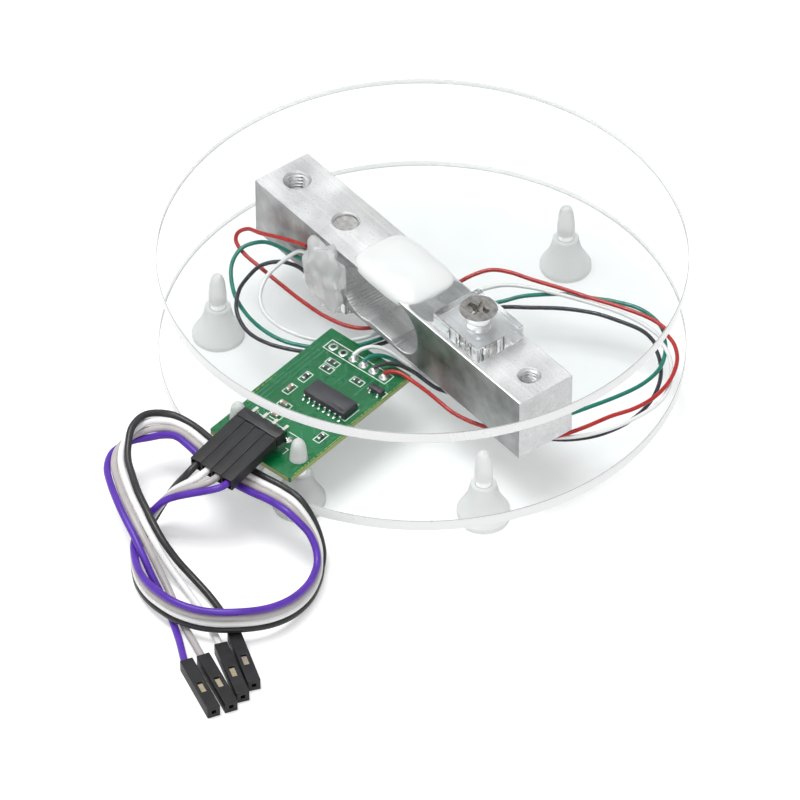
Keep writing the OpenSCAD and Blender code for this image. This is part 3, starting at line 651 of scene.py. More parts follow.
def cut(piece: bpy.types.Object, cutter: bmesh.types.BMesh) -> None:
    """Cuts a shape in millimetres out of a finished piece.

    Args:
        piece: the piece in metres.
        cutter: the shape to take away, which is freed.
    """
    bmesh.ops.transform(cutter, matrix=Matrix.Scale(MM, 4), verts=cutter.verts)
    bmesh.ops.recalc_face_normals(cutter, faces=cutter.faces)
    mesh = bpy.data.meshes.new("cutter")
    cutter.to_mesh(mesh)
    cutter.free()
    tool = bpy.data.objects.new("cutter", mesh)
    bpy.context.scene.collection.objects.link(tool)
    step = piece.modifiers.new("cut", "BOOLEAN")
    step.object = tool
    step.operation = "DIFFERENCE"
    step.solver = "MANIFOLD"
    view = bpy.context.evaluated_depsgraph_get()
    made = bpy.data.meshes.new_from_object(piece.evaluated_get(view))
    piece.modifiers.clear()
    old = piece.data
    made.materials.clear()
    for material in old.materials:
        made.materials.append(material)
    piece.data = made
    smooth_by_angle(made)
    bpy.data.objects.remove(tool)
    bpy.data.meshes.remove(mesh)


def dressed(node: str, finish: Finish, slot: str, edge: float, segments: int = 2) -> bpy.types.Object:
    """Makes the shown piece of a solid: the same form with its edges rounded.

    Args:
        node: the solid's name.
        finish: what the piece wears.
        slot: not used.
        edge: how far the edges are rounded, in millimetres.
        segments: how finely they are rounded.

    Returns:
        The piece that stands for the solid.
    """
    shape = bmesh.new()
    shape.from_mesh(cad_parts[node].data)
    bmesh.ops.remove_doubles(shape, verts=shape.verts, dist=WELD)
    bmesh.ops.dissolve_limit(shape, angle_limit=math.radians(COPLANAR), verts=shape.verts,
                             edges=shape.edges, use_dissolve_boundaries=False)
    limit = math.radians(SHARP)
    sharp = [e for e in shape.edges if len(e.link_faces) == 2 and e.calc_face_angle(0.0) > limit]
    bmesh.ops.bevel(shape, geom=sharp, offset=edge * MM, offset_type="OFFSET", segments=segments,
                    profile=0.5, affect="EDGES", clamp_overlap=True)
    bmesh.ops.transform(shape, matrix=Matrix.Scale(1 / MM, 4), verts=shape.verts)
    piece = finish_piece(node + "_piece", shape, finish)
    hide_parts(node)
    return piece


def stand_for(piece: bpy.types.Object, slot: str, *nodes: str) -> bpy.types.Object:
    """Puts a detailed piece in the place of its solids by hiding them, and returns it."""
    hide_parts(*nodes)
    return piece


def report(what: str, pieces: Iterable[bpy.types.Object]) -> None:
    """Logs the pieces of one sub-assembly."""
    for piece in pieces:
        size = len(piece.data.polygons) if piece.type == "MESH" else len(piece.data.splines[0].points)
        LOG.info("%s: %s, %d faces or points", what, piece.name, size)


# Camera, floor and lamps


@dataclass
class Studio:
    """The camera at the photograph's angle, a pale floor and soft lamps."""

    place: Point = (874.79, -696.97, 1029.97)
    azimuth: float = -38.327
    elevation: float = 42.803
    roll: float = -0.084
    focal_share: float = 9.99622
    film: float = 36.0
    aim: Point = (0, 0, 0.01)
    floor_size: float = 6.0
    floor_depth: float = 20.0
    floor_drop: float = 0.02
    floor_tone: Colour = (0.86, 0.86, 0.86)
    floor_glow: float = 0.32
    surround: tuple[float, float] = (0.5, 1.0)
    gloss_share: float = 0.1
    lamps: Sequence[tuple[str, Point, float, float]] = (
        ("softbox", (-0.25, -0.25, 1.4), 0.7, 15.0), ("fill", (1.0, -0.9, 0.8), 0.9, 4.0))

    def build_camera(self) -> None:
        """Makes the camera and gives it to the scene."""
        turn, rise = math.radians(self.azimuth), math.radians(self.elevation)
        back = Vector((math.cos(rise) * math.cos(turn), math.cos(rise) * math.sin(turn), math.sin(rise)))
        right = Vector((-math.sin(turn), math.cos(turn), 0.0))
        axes = Matrix((right, back.cross(right), back)).transposed().to_4x4()
        data = bpy.data.cameras.new("camera")
        data.sensor_width = self.film
        data.lens = self.film * self.focal_share
        data.clip_start = 0.05
        data.clip_end = 50.0
        camera = bpy.data.objects.new("camera", data)
        tip = Matrix.Rotation(math.radians(self.roll), 4, "Z")
        camera.matrix_world = Matrix.Translation(Vector(self.place) * MM) @ axes @ tip
        bpy.context.scene.collection.objects.link(camera)
        bpy.context.scene.camera = camera

    def _seen(self, graph: Graph) -> bpy.types.NodeSocket:
        """One for the rays that show a background, from the camera or through glass, and less for gloss."""
        path = graph.put("ShaderNodeLightPath")
        straight = graph.reckon(path.outputs["Is Camera Ray"], path.outputs["Is Transmission Ray"],
                                "MAXIMUM")
        gloss = graph.reckon(path.outputs["Is Glossy Ray"], self.gloss_share, "MULTIPLY")
        return graph.reckon(straight, gloss, "MAXIMUM")

    def build_floor(self) -> None:
        """Makes the pale floor that keeps the object's shadow."""
        shape = bmesh.new()
        half = self.floor_size / 2 / MM
        add_box(shape, (-half, -half, -self.floor_depth), (half, half, -self.floor_drop))
        mesh = bpy.data.meshes.new("floor")
        bmesh.ops.transform(shape, matrix=Matrix.Scale(MM, 4), verts=shape.verts)
        shape.to_mesh(mesh)
        shape.free()
        floor = bpy.data.objects.new("floor", mesh)
        bpy.context.scene.collection.objects.link(floor)
        material = bpy.data.materials.new("pale_floor")
        material.use_nodes = True
        material.node_tree.nodes.clear()
        graph = Graph(material.node_tree)
        matt = graph.put("ShaderNodeBsdfDiffuse", {"Color": self.floor_tone})
        lift = graph.span(self._seen(graph), 0.0, self.floor_glow)
        glow = graph.put("ShaderNodeEmission", {"Color": WHITE, "Strength": lift})
        both = graph.put("ShaderNodeAddShader", {0: matt.outputs[0], 1: glow.outputs[0]})
        graph.put("ShaderNodeOutputMaterial", {"Surface": both.outputs[0]})
        mesh.materials.append(material)

    def build_world(self) -> None:
        """Makes the white surround and its plain light."""
        world = bpy.data.worlds.new("studio")
        world.use_nodes = True
        world.node_tree.nodes.clear()
        graph = Graph(world.node_tree)
        strength = graph.span(self._seen(graph), *self.surround)
        light = graph.put("ShaderNodeBackground", {"Color": WHITE, "Strength": strength})
        graph.put("ShaderNodeOutputWorld", {"Surface": light.outputs[0]})
        bpy.context.scene.world = world
        bpy.context.scene.view_settings.view_transform = "Standard"

    def add_lamp(self, name: str, place: Point, size: float, power: float) -> None:
        """Adds one square lamp that looks at the object.

        Args:
            name: the lamp's name.
            place: where it hangs, in metres.
            size: its side, in metres.
            power: its power in watts.
        """
        data = bpy.data.lights.new(name, "AREA")
        data.size = size
        data.energy = power
        lamp = bpy.data.objects.new(name, data)
        lamp.location = place
        lamp.rotation_mode = "QUATERNION"
        lamp.rotation_quaternion = (Vector(self.aim) - Vector(place)).to_track_quat("-Z", "Y")
        bpy.context.scene.collection.objects.link(lamp)

    def build(self) -> None:
        """Makes the camera, the floor, the surround and the lamps."""
        self.build_camera()
        self.build_floor()
        self.build_world()
        for name, place, size, power in self.lamps:
            self.add_lamp(name, place, size, power)


# Leads


class Routes:
    """Smooth routes through listed points, in millimetres."""

    @staticmethod
    def place(points: Sequence[Vector], s: float) -> Vector:
        """A place on the smooth line through points.

        Args:
            points: the listed points.
            s: how far along, counted in points.

        Returns:
            The place in millimetres.
        """
        i = min(int(s), len(points) - 2)
        t = s - i
        a, b = points[max(i - 1, 0)], points[i]
        c, d = points[i + 1], points[min(i + 2, len(points) - 1)]
        square, cube = 2 * a - 5 * b + 4 * c - d, 3 * b - a - 3 * c + d
        return 0.5 * (2 * b + (c - a) * t + square * t * t + cube * t ** 3)

    @staticmethod
    def smooth(points: Sequence[Vector], steps: int) -> list[Vector]:
        """Even steps along the smooth line, with so many between two points."""
        count = (len(points) - 1) * steps
        return [Routes.place(points, k / steps) for k in range(count + 1)]


@dataclass
class BoardPlace:
    """Where the converter board lies: its middle, its turn and its slope."""

    length: float = 34.0
    width: float = 20.2
    thickness: float = 1.2
    x: float = 3.65
    y: float = -29.6
    turn: float = 10.0
    slope: float = 2.2
    deck: float = 12.0
    pitch: float = 2.54
    pad_y: float = 13.4
    header_x: float = -1.0
    strip_y: float = -13.9
    root: float = 15.05
    droop: float = 3.0
    skew: float = 4.7
    pin_y: float = -9.6

    def level(self) -> Matrix:
        """From the board's own plan to the part's frame."""
        return Matrix.Translation((self.x, self.y, 0)) @ Matrix.Rotation(math.radians(self.turn), 4, "Z")

    def matrix(self) -> Matrix:
        """From the board's upper face to the part's frame."""
        tip = Matrix.Rotation(math.radians(self.slope), 4, "X")
        lift = Matrix.Translation((0, -self.length / 2, self.deck))
        return self.level() @ lift @ tip @ Matrix.Translation((0, self.length / 2, 0))

    def plug(self, row: int) -> Matrix:
        """From a plug's own frame, Y out along it, to the part's frame."""
        root = Matrix.Translation((self.header_x + (row - 1.5) * self.pitch, self.strip_y, self.root))
        aim = Matrix.Rotation(math.radians(180 + self.skew), 4, "Z")
        return self.level() @ root @ aim @ Matrix.Rotation(math.radians(-self.droop), 4, "X")

    def pad(self, i: int, height: float) -> Vector:
        """The place over one of the six pads at the beam's end of the board."""
        return self.matrix() @ Vector(((i - 2.5) * self.pitch, self.pad_y, height))


class Jumper(Enum):
    """The four jumper leads, in the order of their rows."""

    BLACK = 0
    WHITE = 1
    GREY = 2
    PURPLE = 3


# X, Y, Z, roll in degrees and pitch between the leads, along the ribbon's middle line
RIBBON = [
    (3.2, -68.1, 3.8, 82, 1.7), (4.1, -70.2, 3.0, 88, 1.5), (6.3, -73.2, 2.9, 90, 1.45),
    (9.4, -75.4, 2.95, 90, 1.45), (13.2, -77.3, 3.35, 90, 1.45), (17.5, -78.4, 3.9, 90, 1.45),
    (21.5, -78.6, 4.5, 90, 1.45), (25.4, -78.0, 4.75, 90, 1.45), (29.1, -76.4, 4.9, 90, 1.45),
    (32.2, -74.4, 5.3, 90, 1.45), (34.6, -71.8, 5.5, 90, 1.45), (36.4, -68.4, 5.2, 90, 1.45),
    (37.3, -65.0, 4.7, 90, 1.45), (37.3, -61.3, 4.05, 90, 1.45), (36.4, -57.5, 3.4, 90, 1.45),
    (34.8, -53.9, 3.0, 90, 1.45), (32.5, -50.6, 3.1, 88, 1.5), (30.4, -48.7, 4.1, 80, 1.72),
    (28.0, -47.4, 6.0, 62, 1.85), (25.2, -47.3, 8.6, 38, 1.75), (21.9, -48.0, 11.1, 10, 1.5),
    (17.6, -48.5, 11.1, 0, 1.45), (13.5, -49.5, 10.9, -6, 1.45), (9.4, -50.4, 10.75, -9, 1.45),
    (5.4, -51.0, 10.75, -9, 1.45), (1.3, -51.1, 10.9, -6, 1.45), (-2.7, -51.2, 11.1, 0, 1.45),
    (-6.8, -51.5, 11.1, 0, 1.45), (-10.2, -52.9, 10.9, -20, 1.5), (-12.6, -55.6, 10.4, -60, 1.5),
    (-13.2, -59.0, 9.9, -100, 1.5), (-11.8, -62.6, 9.4, -135, 1.5), (-9.0, -65.4, 9.1, -155, 1.45),
    (-5.3, -67.3, 8.9, -170, 1.45), (-1.2, -69.0, 8.75, -178, 1.45), (3.0, -70.3, 8.2, -180, 1.5)]


@dataclass
class JumperLeads:
    """The ribbon of four jumper leads, its plugs on the board and its loose sockets."""

    board: BoardPlace
    diameter: float = 1.4
    socket_length: float = 13.6
    socket_width: float = 2.5
    gap: float = 0.05
    inside: float = 2.5
    rows: Sequence[float] = (-1.5, -0.5, 0.5, 1.5)
    loose: Sequence[Point] = ((46.9, -76.5, -21.7), (48.0, -79.9, -20), (48.7, -83.1, -15),
                              (47.8, -86.4, -15.5))
    starts: Sequence[Sequence[Point]] = (
        ((4.9, -59.8, 13.2), (2.6, -61.1, 8.8), (1.5, -63.6, 4.2)),
        ((7.2, -59.6, 13.7), (3.9, -62.3, 9.7), (2.3, -64.7, 5.4)),
        ((9.5, -59.2, 13.9), (5.0, -63.3, 10.4), (3.1, -65.6, 6.6)),
        ((11.8, -58.8, 14.0), (6.0, -64.4, 10.8), (3.9, -66.6, 7.7)))
    tails: Sequence[Sequence[Point]] = (
        ((7.0, -69.0, 7.4), (10.6, -69.5, 6.0), (14.6, -69.3, 4.0), (18.6, -68.8, 2.4), (22.6, -68.7, 1.5),
         (26.6, -69.1, 1.0), (30.4, -70.0, 0.95)),
        ((6.6, -70.4, 7.3), (10.0, -70.9, 5.9), (13.6, -70.9, 3.5), (17.6, -70.9, 1.7), (21.8, -71.3, 0.85),
         (26.4, -72.2, 0.75), (30.4, -73.5, 0.9)),
        ((6.8, -71.95, 7.0), (10.6, -72.6, 5.3), (14.2, -73.1, 3.1), (18.4, -74.0, 1.3),
         (22.8, -75.6, 0.75),
         (27.2, -77.1, 0.8), (31.0, -78.2, 1.0)),
        ((7.2, -73.6, 7.0), (10.6, -74.4, 5.6), (13.8, -75.0, 3.6), (17.2, -75.5, 1.8), (20.6, -76.4, 0.85),
         (24.6, -78.0, 0.75), (29.0, -80.0, 0.85)))
    jackets: dict[Jumper, Finish] = field(default_factory=lambda: {
        Jumper.BLACK: Finishes.jacket("jumper_black_pvc", (0.016, 0.016, 0.017), (0.03, 0.03, 0.032)),
        Jumper.WHITE: Finishes.jacket("jumper_white_pvc", (0.86, 0.86, 0.85), (0.93, 0.93, 0.93)),
        Jumper.GREY: Finishes.jacket("jumper_grey_pvc", (0.44, 0.41, 0.4), (0.52, 0.49, 0.48)),
        Jumper.PURPLE: Finishes.jacket("jumper_purple_pvc", (0.075, 0.015, 0.33), (0.11, 0.03, 0.45)),
    })

    def socket_gap(self) -> float:
        """How far a plug stands off the header strip."""
        return self.socket_width / 2 * math.sin(math.radians(self.board.skew)) + self.gap

    def plug_point(self, row: int, far: float) -> Vector:
        """A place on a plug's axis, so far from its root."""
        return self.board.plug(row) @ Vector((0, far + self.socket_gap(), 0))

    def loose_point(self, row: int, far: float) -> Vector:
        """A place on a loose socket's axis, so far from its mating end."""
        x, y, turn = self.loose[row]
        a = math.radians(turn)
        return Vector((x - far * math.cos(a), y - far * math.sin(a), self.socket_width / 2 + self.gap))

    def ribbon_points(self, row: int) -> list[Vector]:
        """The points of one lead in the ribbon.

        Args:
            row: the lead's row, from 0 to 3.

        Returns:
            The points, beside the ribbon's middle line.
        """
        points = []
        for i, (x, y, z, roll, pitch) in enumerate(RIBBON):
            before, after = RIBBON[max(i - 1, 0)], RIBBON[min(i + 1, len(RIBBON) - 1)]
            along = Vector((after[0] - before[0], after[1] - before[1], 0)).normalized()
            left = Vector((-along.y, along.x, 0))
            turn = math.radians(roll)
            offset = left * math.cos(turn) + Vector((0, 0, math.sin(turn)))
            points.append(Vector((x, y, z)) + offset * self.rows[row] * pitch)
        return points

    def route(self, row: int) -> list[Vector]:
        """The points of one lead from inside its plug to inside its loose socket.

        Args:
            row: the lead's row, from 0 to 3.

        Returns:
            The points.
        """
        ends = (-self.inside, -1.0, 0.5)
        return (
            [self.plug_point(row, self.socket_length + far) for far in ends]
            + [Vector(p) for p in self.starts[row]]
            + self.ribbon_points(row)
            + [Vector(p) for p in self.tails[row]]
            + [self.loose_point(row, self.socket_length + far) for far in (1.0, -1.0, -self.inside)])

    def build_leads(self) -> list[tuple[Jumper, bpy.types.Object, list[Vector]]]:
        """Makes the four leads as curves.

        Returns:
            Each lead's name, its curve and its points.
        """
        leads = []
        for lead in Jumper:
            points = Routes.smooth(self.route(lead.value), LEAD_STEPS)
            name = "jumper_" + lead.name.lower()
            curve = lead_curve(name + "_lead", points, self.diameter, self.jackets[lead])
            stand_for(curve, "jacket_" + lead.name.lower(), name)
            leads.append((lead, curve, points))
        return leads

    def build_sockets(self) -> dict[Jumper, list[bpy.types.Object]]:
        """Makes the plugs, the loose sockets and their contacts.

        Returns:
            The pieces that belong to each lead.
        """
        ends: dict[Jumper, list[bpy.types.Object]] = {}
        flip = Matrix.Rotation(math.pi, 4, "Y")
        scale = Matrix.Scale(MM, 4)
        for row, lead in enumerate(Jumper):
            colour = lead.name.lower()
            ends[lead] = [
                dressed("plug_" + colour, Finishes.socket, "socket_plastic", 0.12, 3),
                dressed("loose_" + colour, Finishes.socket, "socket_plastic", 0.12, 3)]
            seat = self.board.plug(row)
            ends[lead][0].data.transform(scale @ seat @ flip @ seat.inverted() @ scale.inverted())
        for node in ("plug_contacts", "loose_contacts"):
            ends[Jumper.BLACK].append(dressed(node, Finishes.contact, "pin_gold", 0.04))
        return ends


def lead_curve(name: str, points: Sequence[Vector], diameter: float, finish: Finish) -> bpy.types.Object:
    """Makes one lead as an open round curve.

    Args:
        name: the object's name.
        points: its smooth centreline, in millimetres.
        diameter: its outside diameter, in millimetres.
        finish: what its jacket wears.

    Returns:
        The curve, in metres, riding on the part.
    """
    data = bpy.data.curves.new(name, "CURVE")
    data.dimensions = "3D"
    data.bevel_depth = diameter / 2 * MM
    data.bevel_resolution = 4
    data.use_fill_caps = True
    spline = data.splines.new("POLY")
    spline.points.add(len(points) - 1)
    for knot, point in zip(spline.points, points):
        knot.co = (*(point * MM), 1.0)
    spline.use_smooth = True
    data.materials.append(finish.material())
    piece = bpy.data.objects.new(name, data)
    bpy.context.scene.collection.objects.link(piece)
    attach(piece, "root")
    return piece


class SensorLead(Enum):
    """The four leads of the beam: the pad and the height at which each leaves the glue."""

    RED = (5, 11.6)
    WHITE = (2, 9.8)
    GREEN = (3, 7.6)
    BLACK = (4, 4.7)


# X, Y and height over the base plate of each lead's points, from the glue to its pad
LOOPS = {
    SensorLead.RED: (
        (-26, -10.2, 10.9), (-30.4, -11.2, 9.7), (-34.6, -12, 8.2), (-38, -12.2, 7), (-39.9, -13.2, 5.3),
        (-39.4, -14.1, 3.8), (-36.6, -14.2, 2.6), (-32.4, -13.5, 1.6), (-27, -12.8, 0.7),
        (-21, -12.4, 0.5), (-14.8, -11.6, 0.5), (-9.6, -9.6, 0.5), (-6.9, -6.4, 0.5), (-6.2, -1, 0.5),
        (-6.2, 5, 0.5), (-6.3, 11, 0.6), (-6.2, 16, 1.2), (-4.2, 19.7, 2.4), (-0.8, 21.9, 3),
        (3.5, 23.9, 3), (8.5, 26.5, 3), (14.2, 29.2, 3), (20.5, 32.4, 3), (26.5, 34.6, 3),
        (31.8, 34.6, 3), (35.8, 32.8, 3), (38.8, 29.8, 3), (41, 26, 3), (42.3, 21.5, 3), (42.3, 16.8, 3),
        (41.2, 12, 3), (40.6, 7, 3), (39.4, 2, 2.8), (36.6, -2.6, 2), (32.4, -5.2, 0.9),
        (27.6, -7.2, 0.5), (24.3, -8.6, 0.5), (20.8, -9.5, 0.6), (17.9, -10, 1.2), (15, -10.8, 2.3),
        (12.2, -12, 3.6), (9.7, -12.7, 4.1), (8.1, -13.8, 4.2)),
    SensorLead.WHITE: (
        (-25.6, -9.9, 8.6), (-27.8, -12, 5.6), (-28.2, -15.4, 3.4), (-26.2, -18.6, 1.6),
        (-22.4, -20.2, 0.6), (-17.4, -20, 0.5), (-12.6, -18.2, 0.5), (-9.4, -15.6, 0.5),
        (-6.8, -12.2, 0.5), (-5.2, -7.6, 0.5), (-4.6, -1.6, 0.5), (-4.2, 4.6, 0.5), (-3.4, 10.6, 0.5),
        (-2.2, 15.6, 0.9), (0.2, 19.6, 1.7), (4.2, 22.8, 2.15), (8.6, 25.6, 2.15), (14, 28.6, 2.15),
        (20.2, 31.6, 2.15), (25.6, 33, 2.15), (30.4, 33.2, 2.15), (34.4, 32, 2.15), (37.8, 29.8, 2.15),
        (41, 26.6, 2.15), (43.2, 22.4, 2.15), (43.8, 17, 2.15), (43.2, 11, 2.15), (41.2, 5, 2.1),
        (37.6, 0.4, 1.8), (32.8, -2.6, 1.2), (27, -4.9, 0.6), (21.4, -6.3, 0.6), (17.7, -6.9, 1),
        (14.2, -7.1, 1.45), (10.6, -7.6, 1.5), (7.6, -8.5, 2), (5.5, -9.5, 2.8), (3.9, -10.4, 3.9),
        (2.3, -11.6, 4.7), (0.9, -13.3, 5), (0.1, -15.2, 4.6)),
    SensorLead.GREEN: (
        (-26.2, -9.9, 7), (-31, -10.2, 6.2), (-35, -11.2, 5.2), (-37.3, -14.4, 3.8), (-35.6, -18.2, 2.4),
        (-31, -21.2, 0.9), (-25.6, -22.8, 0.5), (-20, -23.2, 0.5), (-14.8, -22.2, 0.5),
        (-10.4, -19.4, 0.45), (-6.6, -15.4, 0.45), (-4.4, -10.8, 0.45), (-3.2, -5.2, 0.5),
        (-2.8, 0.8, 0.5), (-1.6, 6.8, 0.5), (0.6, 12.4, 0.5), (2.8, 17, 0.8), (4.4, 20.4, 1.3),
        (6.4, 23.8, 1.3), (9, 27.2, 1.3), (12.8, 30.4, 1.3), (16.8, 33.6, 1.3), (21, 35.8, 1.3),
        (25.6, 36.2, 1.3), (29.6, 34.9, 1.3), (33, 32.2, 1.3), (35.6, 28.4, 1.3), (36.7, 23.4, 1.3),
        (36.4, 18, 1.3), (35.4, 12, 1.3), (34, 6.6, 1.1), (31, 1.6, 0.6), (25.8, -2.5, 0.5),
        (20, -4.1, 0.5), (14.5, -5.5, 0.5), (9.4, -7, 0.6), (6.6, -8.5, 1.1), (4.9, -9.8, 2),
        (3.9, -11.3, 3.3), (3.1, -12.9, 4.2), (2.6, -14.7, 4.5)),
    SensorLead.BLACK: (
        (-26.4, -9.9, 4.5), (-29.8, -11.2, 3.8), (-31.6, -14.2, 3.2), (-30.8, -18, 2.8),
        (-28.9, -21.6, 2.6), (-25.6, -24.6, 1.5), (-20.8, -25.8, 0.6), (-15.8, -24.8, 0.5),
        (-11.2, -22, 0.45), (-7.2, -18.4, 0.45), (-4.2, -13.8, 0.45), (-2.4, -8.4, 0.5),
        (-1.4, -2.6, 0.5), (-0.6, 3.6, 0.5), (1.2, 9.6, 0.5), (3.4, 15.6, 0.5), (7.2, 20.4, 0.45),
        (11.2, 25, 0.45), (15.8, 28.8, 0.45), (20.6, 31.2, 0.45), (25.6, 32.9, 0.45), (30, 32.4, 0.45),
        (34.2, 30.2, 0.45), (37.5, 27.2, 0.45), (40.2, 23.2, 0.45), (42, 18.4, 0.45), (42.4, 13, 0.45),
        (41.2, 7.4, 0.45), (38, 2.2, 0.45), (33.2, -1.4, 0.45), (27, -3.8, 0.45), (20.4, -5.4, 0.45),
        (16.6, -6.4, 0.45), (13.9, -7.5, 0.45), (12.3, -8.2, 1), (10.5, -9.1, 2.1), (8.9, -10.2, 3.2),
        (7.6, -11.5, 4.1), (6.5, -13, 4.6), (5.7, -14.6, 4.6)),
}


@dataclass
class SensorLeads:
    """The four thin leads that run from the beam, round under it, to the board's pads."""

    board: BoardPlace
    diameter: float = 0.8
    start_x: float = -23.15
    start_y: float = -9.65
    floor: float = STACK.base_high
    pad_height: float = 0.9
    jackets: dict[SensorLead, Finish] = field(default_factory=lambda: {
        SensorLead.RED: Finishes.jacket("lead_red_pvc", (0.4, 0.008, 0.008), (0.5, 0.02, 0.015), 0.25),
        SensorLead.WHITE: Finishes.jacket("lead_white_pvc", (0.82, 0.83, 0.83), (0.9, 0.9, 0.9), 0.25),
        SensorLead.GREEN: Finishes.jacket("lead_green_pvc", (0.0, 0.16, 0.11), (0.0, 0.22, 0.155), 0.25),
        SensorLead.BLACK: Finishes.jacket("lead_black_pvc", (0.012, 0.013, 0.02), (0.022, 0.024, 0.034),
                                          0.25),
    })

    def route(self, lead: SensorLead) -> list[Vector]:
        """The points of one lead from the glue to its pad."""
        pad, height = lead.value
        start = Vector((self.start_x, self.start_y, self.floor + height))
        loop = [Vector((x, y, self.floor + z)) for x, y, z in LOOPS[lead]]
        return [start, *loop, self.board.pad(pad, self.pad_height)]

    def build(self) -> list[bpy.types.Object]:
        """Returns:
            The curves.
        """
        curves = []
        for lead in SensorLead:
            name = lead.name.lower()
            points = Routes.smooth(self.route(lead), LEAD_STEPS)
            curve = lead_curve("sensor_lead_" + name, points, self.diameter, self.jackets[lead])
            stand_for(curve, "lead_jacket_" + name, "lead_" + name)
            curves.append(curve)
        return curves


# Plates, spacers, feet and screws


@dataclass
class Plates:
    """The two round clear plates with their foot holes and screw holes."""

    radius: float = 50.0
    round_edge: float = 0.18
    foot_hole: float = 1.5
    ring: float = 40.0
    foot_angles: Sequence[float] = (-22, 98, 218)

    def feet(self, board: BoardPlace) -> list[Point]:
        """Where the five feet pass the base plate.

        Args:
            board: where the converter board lies.

        Returns:
            X and Y of each, the board's two last.
        """
        spots = [(self.ring * math.cos(math.radians(a)), self.ring * math.sin(math.radians(a)))
                 for a in self.foot_angles]
        for side in (-1, 1):
            spot = board.level() @ Vector((side * Feet.board_x, Feet.board_y, 0))
            spots.append((spot.x, spot.y))
        return spots

    def build(self, board: BoardPlace) -> list[bpy.types.Object]:
        """Makes both plates.

        Args:
            board: where the converter board lies.

        Returns:
            The base plate and the top plate.
        """
        outline = circle(0, 0, self.radius, 240)
        holes = [circle(x, y, self.foot_hole, 32) for x, y in self.feet(board)]
        holes.append(circle(-STACK.screw_x, STACK.beam_y, STACK.base_hole, 40))
        shape = slab([outline, *holes], STACK.base_low, STACK.base_high, self.round_edge)
        base = stand_for(finish_piece("base_sheet", shape, Finishes.sheet), "clear_sheet", "base_plate")
        hole = circle(STACK.screw_x, STACK.beam_y, STACK.lid_hole, 40)
        shape = slab([outline, hole], STACK.lid_low, STACK.lid_high, self.round_edge)
        lid = stand_for(finish_piece("top_sheet", shape, Finishes.sheet), "clear_sheet", "top_plate")
        return [base, lid]


@dataclass
class Spacers:
    """The two clear blocks between the beam and the plates."""

    length: float = 13.5
    width: float = 11.0
    round_edge: float = 0.15
    corner: float = 0.4
    seam: float = 0.01

    def build(self) -> list[bpy.types.Object]:
        """Makes both blocks and returns them."""
        pieces = []
        half_x, half_y = self.length / 2, self.width / 2
        rows = (
            ("top_spacer", STACK.screw_x, STACK.beam_high, STACK.lid_low, STACK.lid_hole),
            ("base_spacer", -STACK.screw_x, STACK.base_high, STACK.beam_low, STACK.base_hole),
        )
        for node, x, low, high, hole in rows:
            near, far = (x - half_x, STACK.beam_y - half_y), (x + half_x, STACK.beam_y + half_y)
            loops = [rounded_rectangle(near, far, self.corner), circle(x, STACK.beam_y, hole, 40)]
            shape = slab(loops, low + self.seam, high - self.seam, self.round_edge)
            piece = finish_piece(node + "_block", shape, Finishes.spacer)
            pieces.append(stand_for(piece, "spacer_clear", node))
        return pieces


@dataclass
class Feet:
    """The five moulded rubber feet that are pushed through the base plate."""

    neck: float = 1.45
    bulb: float = 1.7
    height: float = 6.6
    board_x: float = 7.6
    board_y: float = -11.8

    def profile(self) -> list[Point]:
        """Radius and height from the floor to the bulb's tip."""
        top, under, up = STACK.base_high, STACK.base_low, self.height
        return [
            (0, 0.0), (4.85, 0.0), (5.0, 0.15), (5.0, 1.0), (4.9, 1.2), (4.55, 1.75), (4.2, 2.4),
            (3.75, 3.2), (3.3, 4.1), (3.0, 5.0), (2.75, 6.0), (2.6, 6.8), (2.5, 7.35), (2.4, under),
            (1.5, under), (self.neck, under + 0.05), (self.neck, top - 0.05), (self.bulb, top),
            (self.bulb, top + 0.15 * up), (self.bulb, top + 0.3 * up), (1.66, top + 0.4 * up),
            (1.6, top + 0.5 * up), (1.53, top + 0.62 * up), (1.45, top + 0.72 * up),
            (1.32, top + 0.82 * up), (1.15, top + 0.9 * up), (0.95, top + 0.95 * up),
            (0.7, top + 0.985 * up), (0.35, top + 0.998 * up), (0, top + up)]

    def build(self, spots: Sequence[Point]) -> list[bpy.types.Object]:
        """Makes a foot at each spot.

        Args:
            spots: where the feet stand, the three of the plate first.

        Returns:
            The five feet.
        """
        nodes = (
            "plate_foot_right", "plate_foot_back", "plate_foot_left", "board_foot_left", "board_foot_right")
        pieces = []
        for node, (x, y) in zip(nodes, spots):
            shape = bmesh.new()
            add_lathe(shape, self.profile(), 56, (x, y, 0))
            piece = finish_piece(node + "_rubber", shape, Finishes.foot)
            pieces.append(stand_for(piece, "foot_rubber", node))
        return pieces


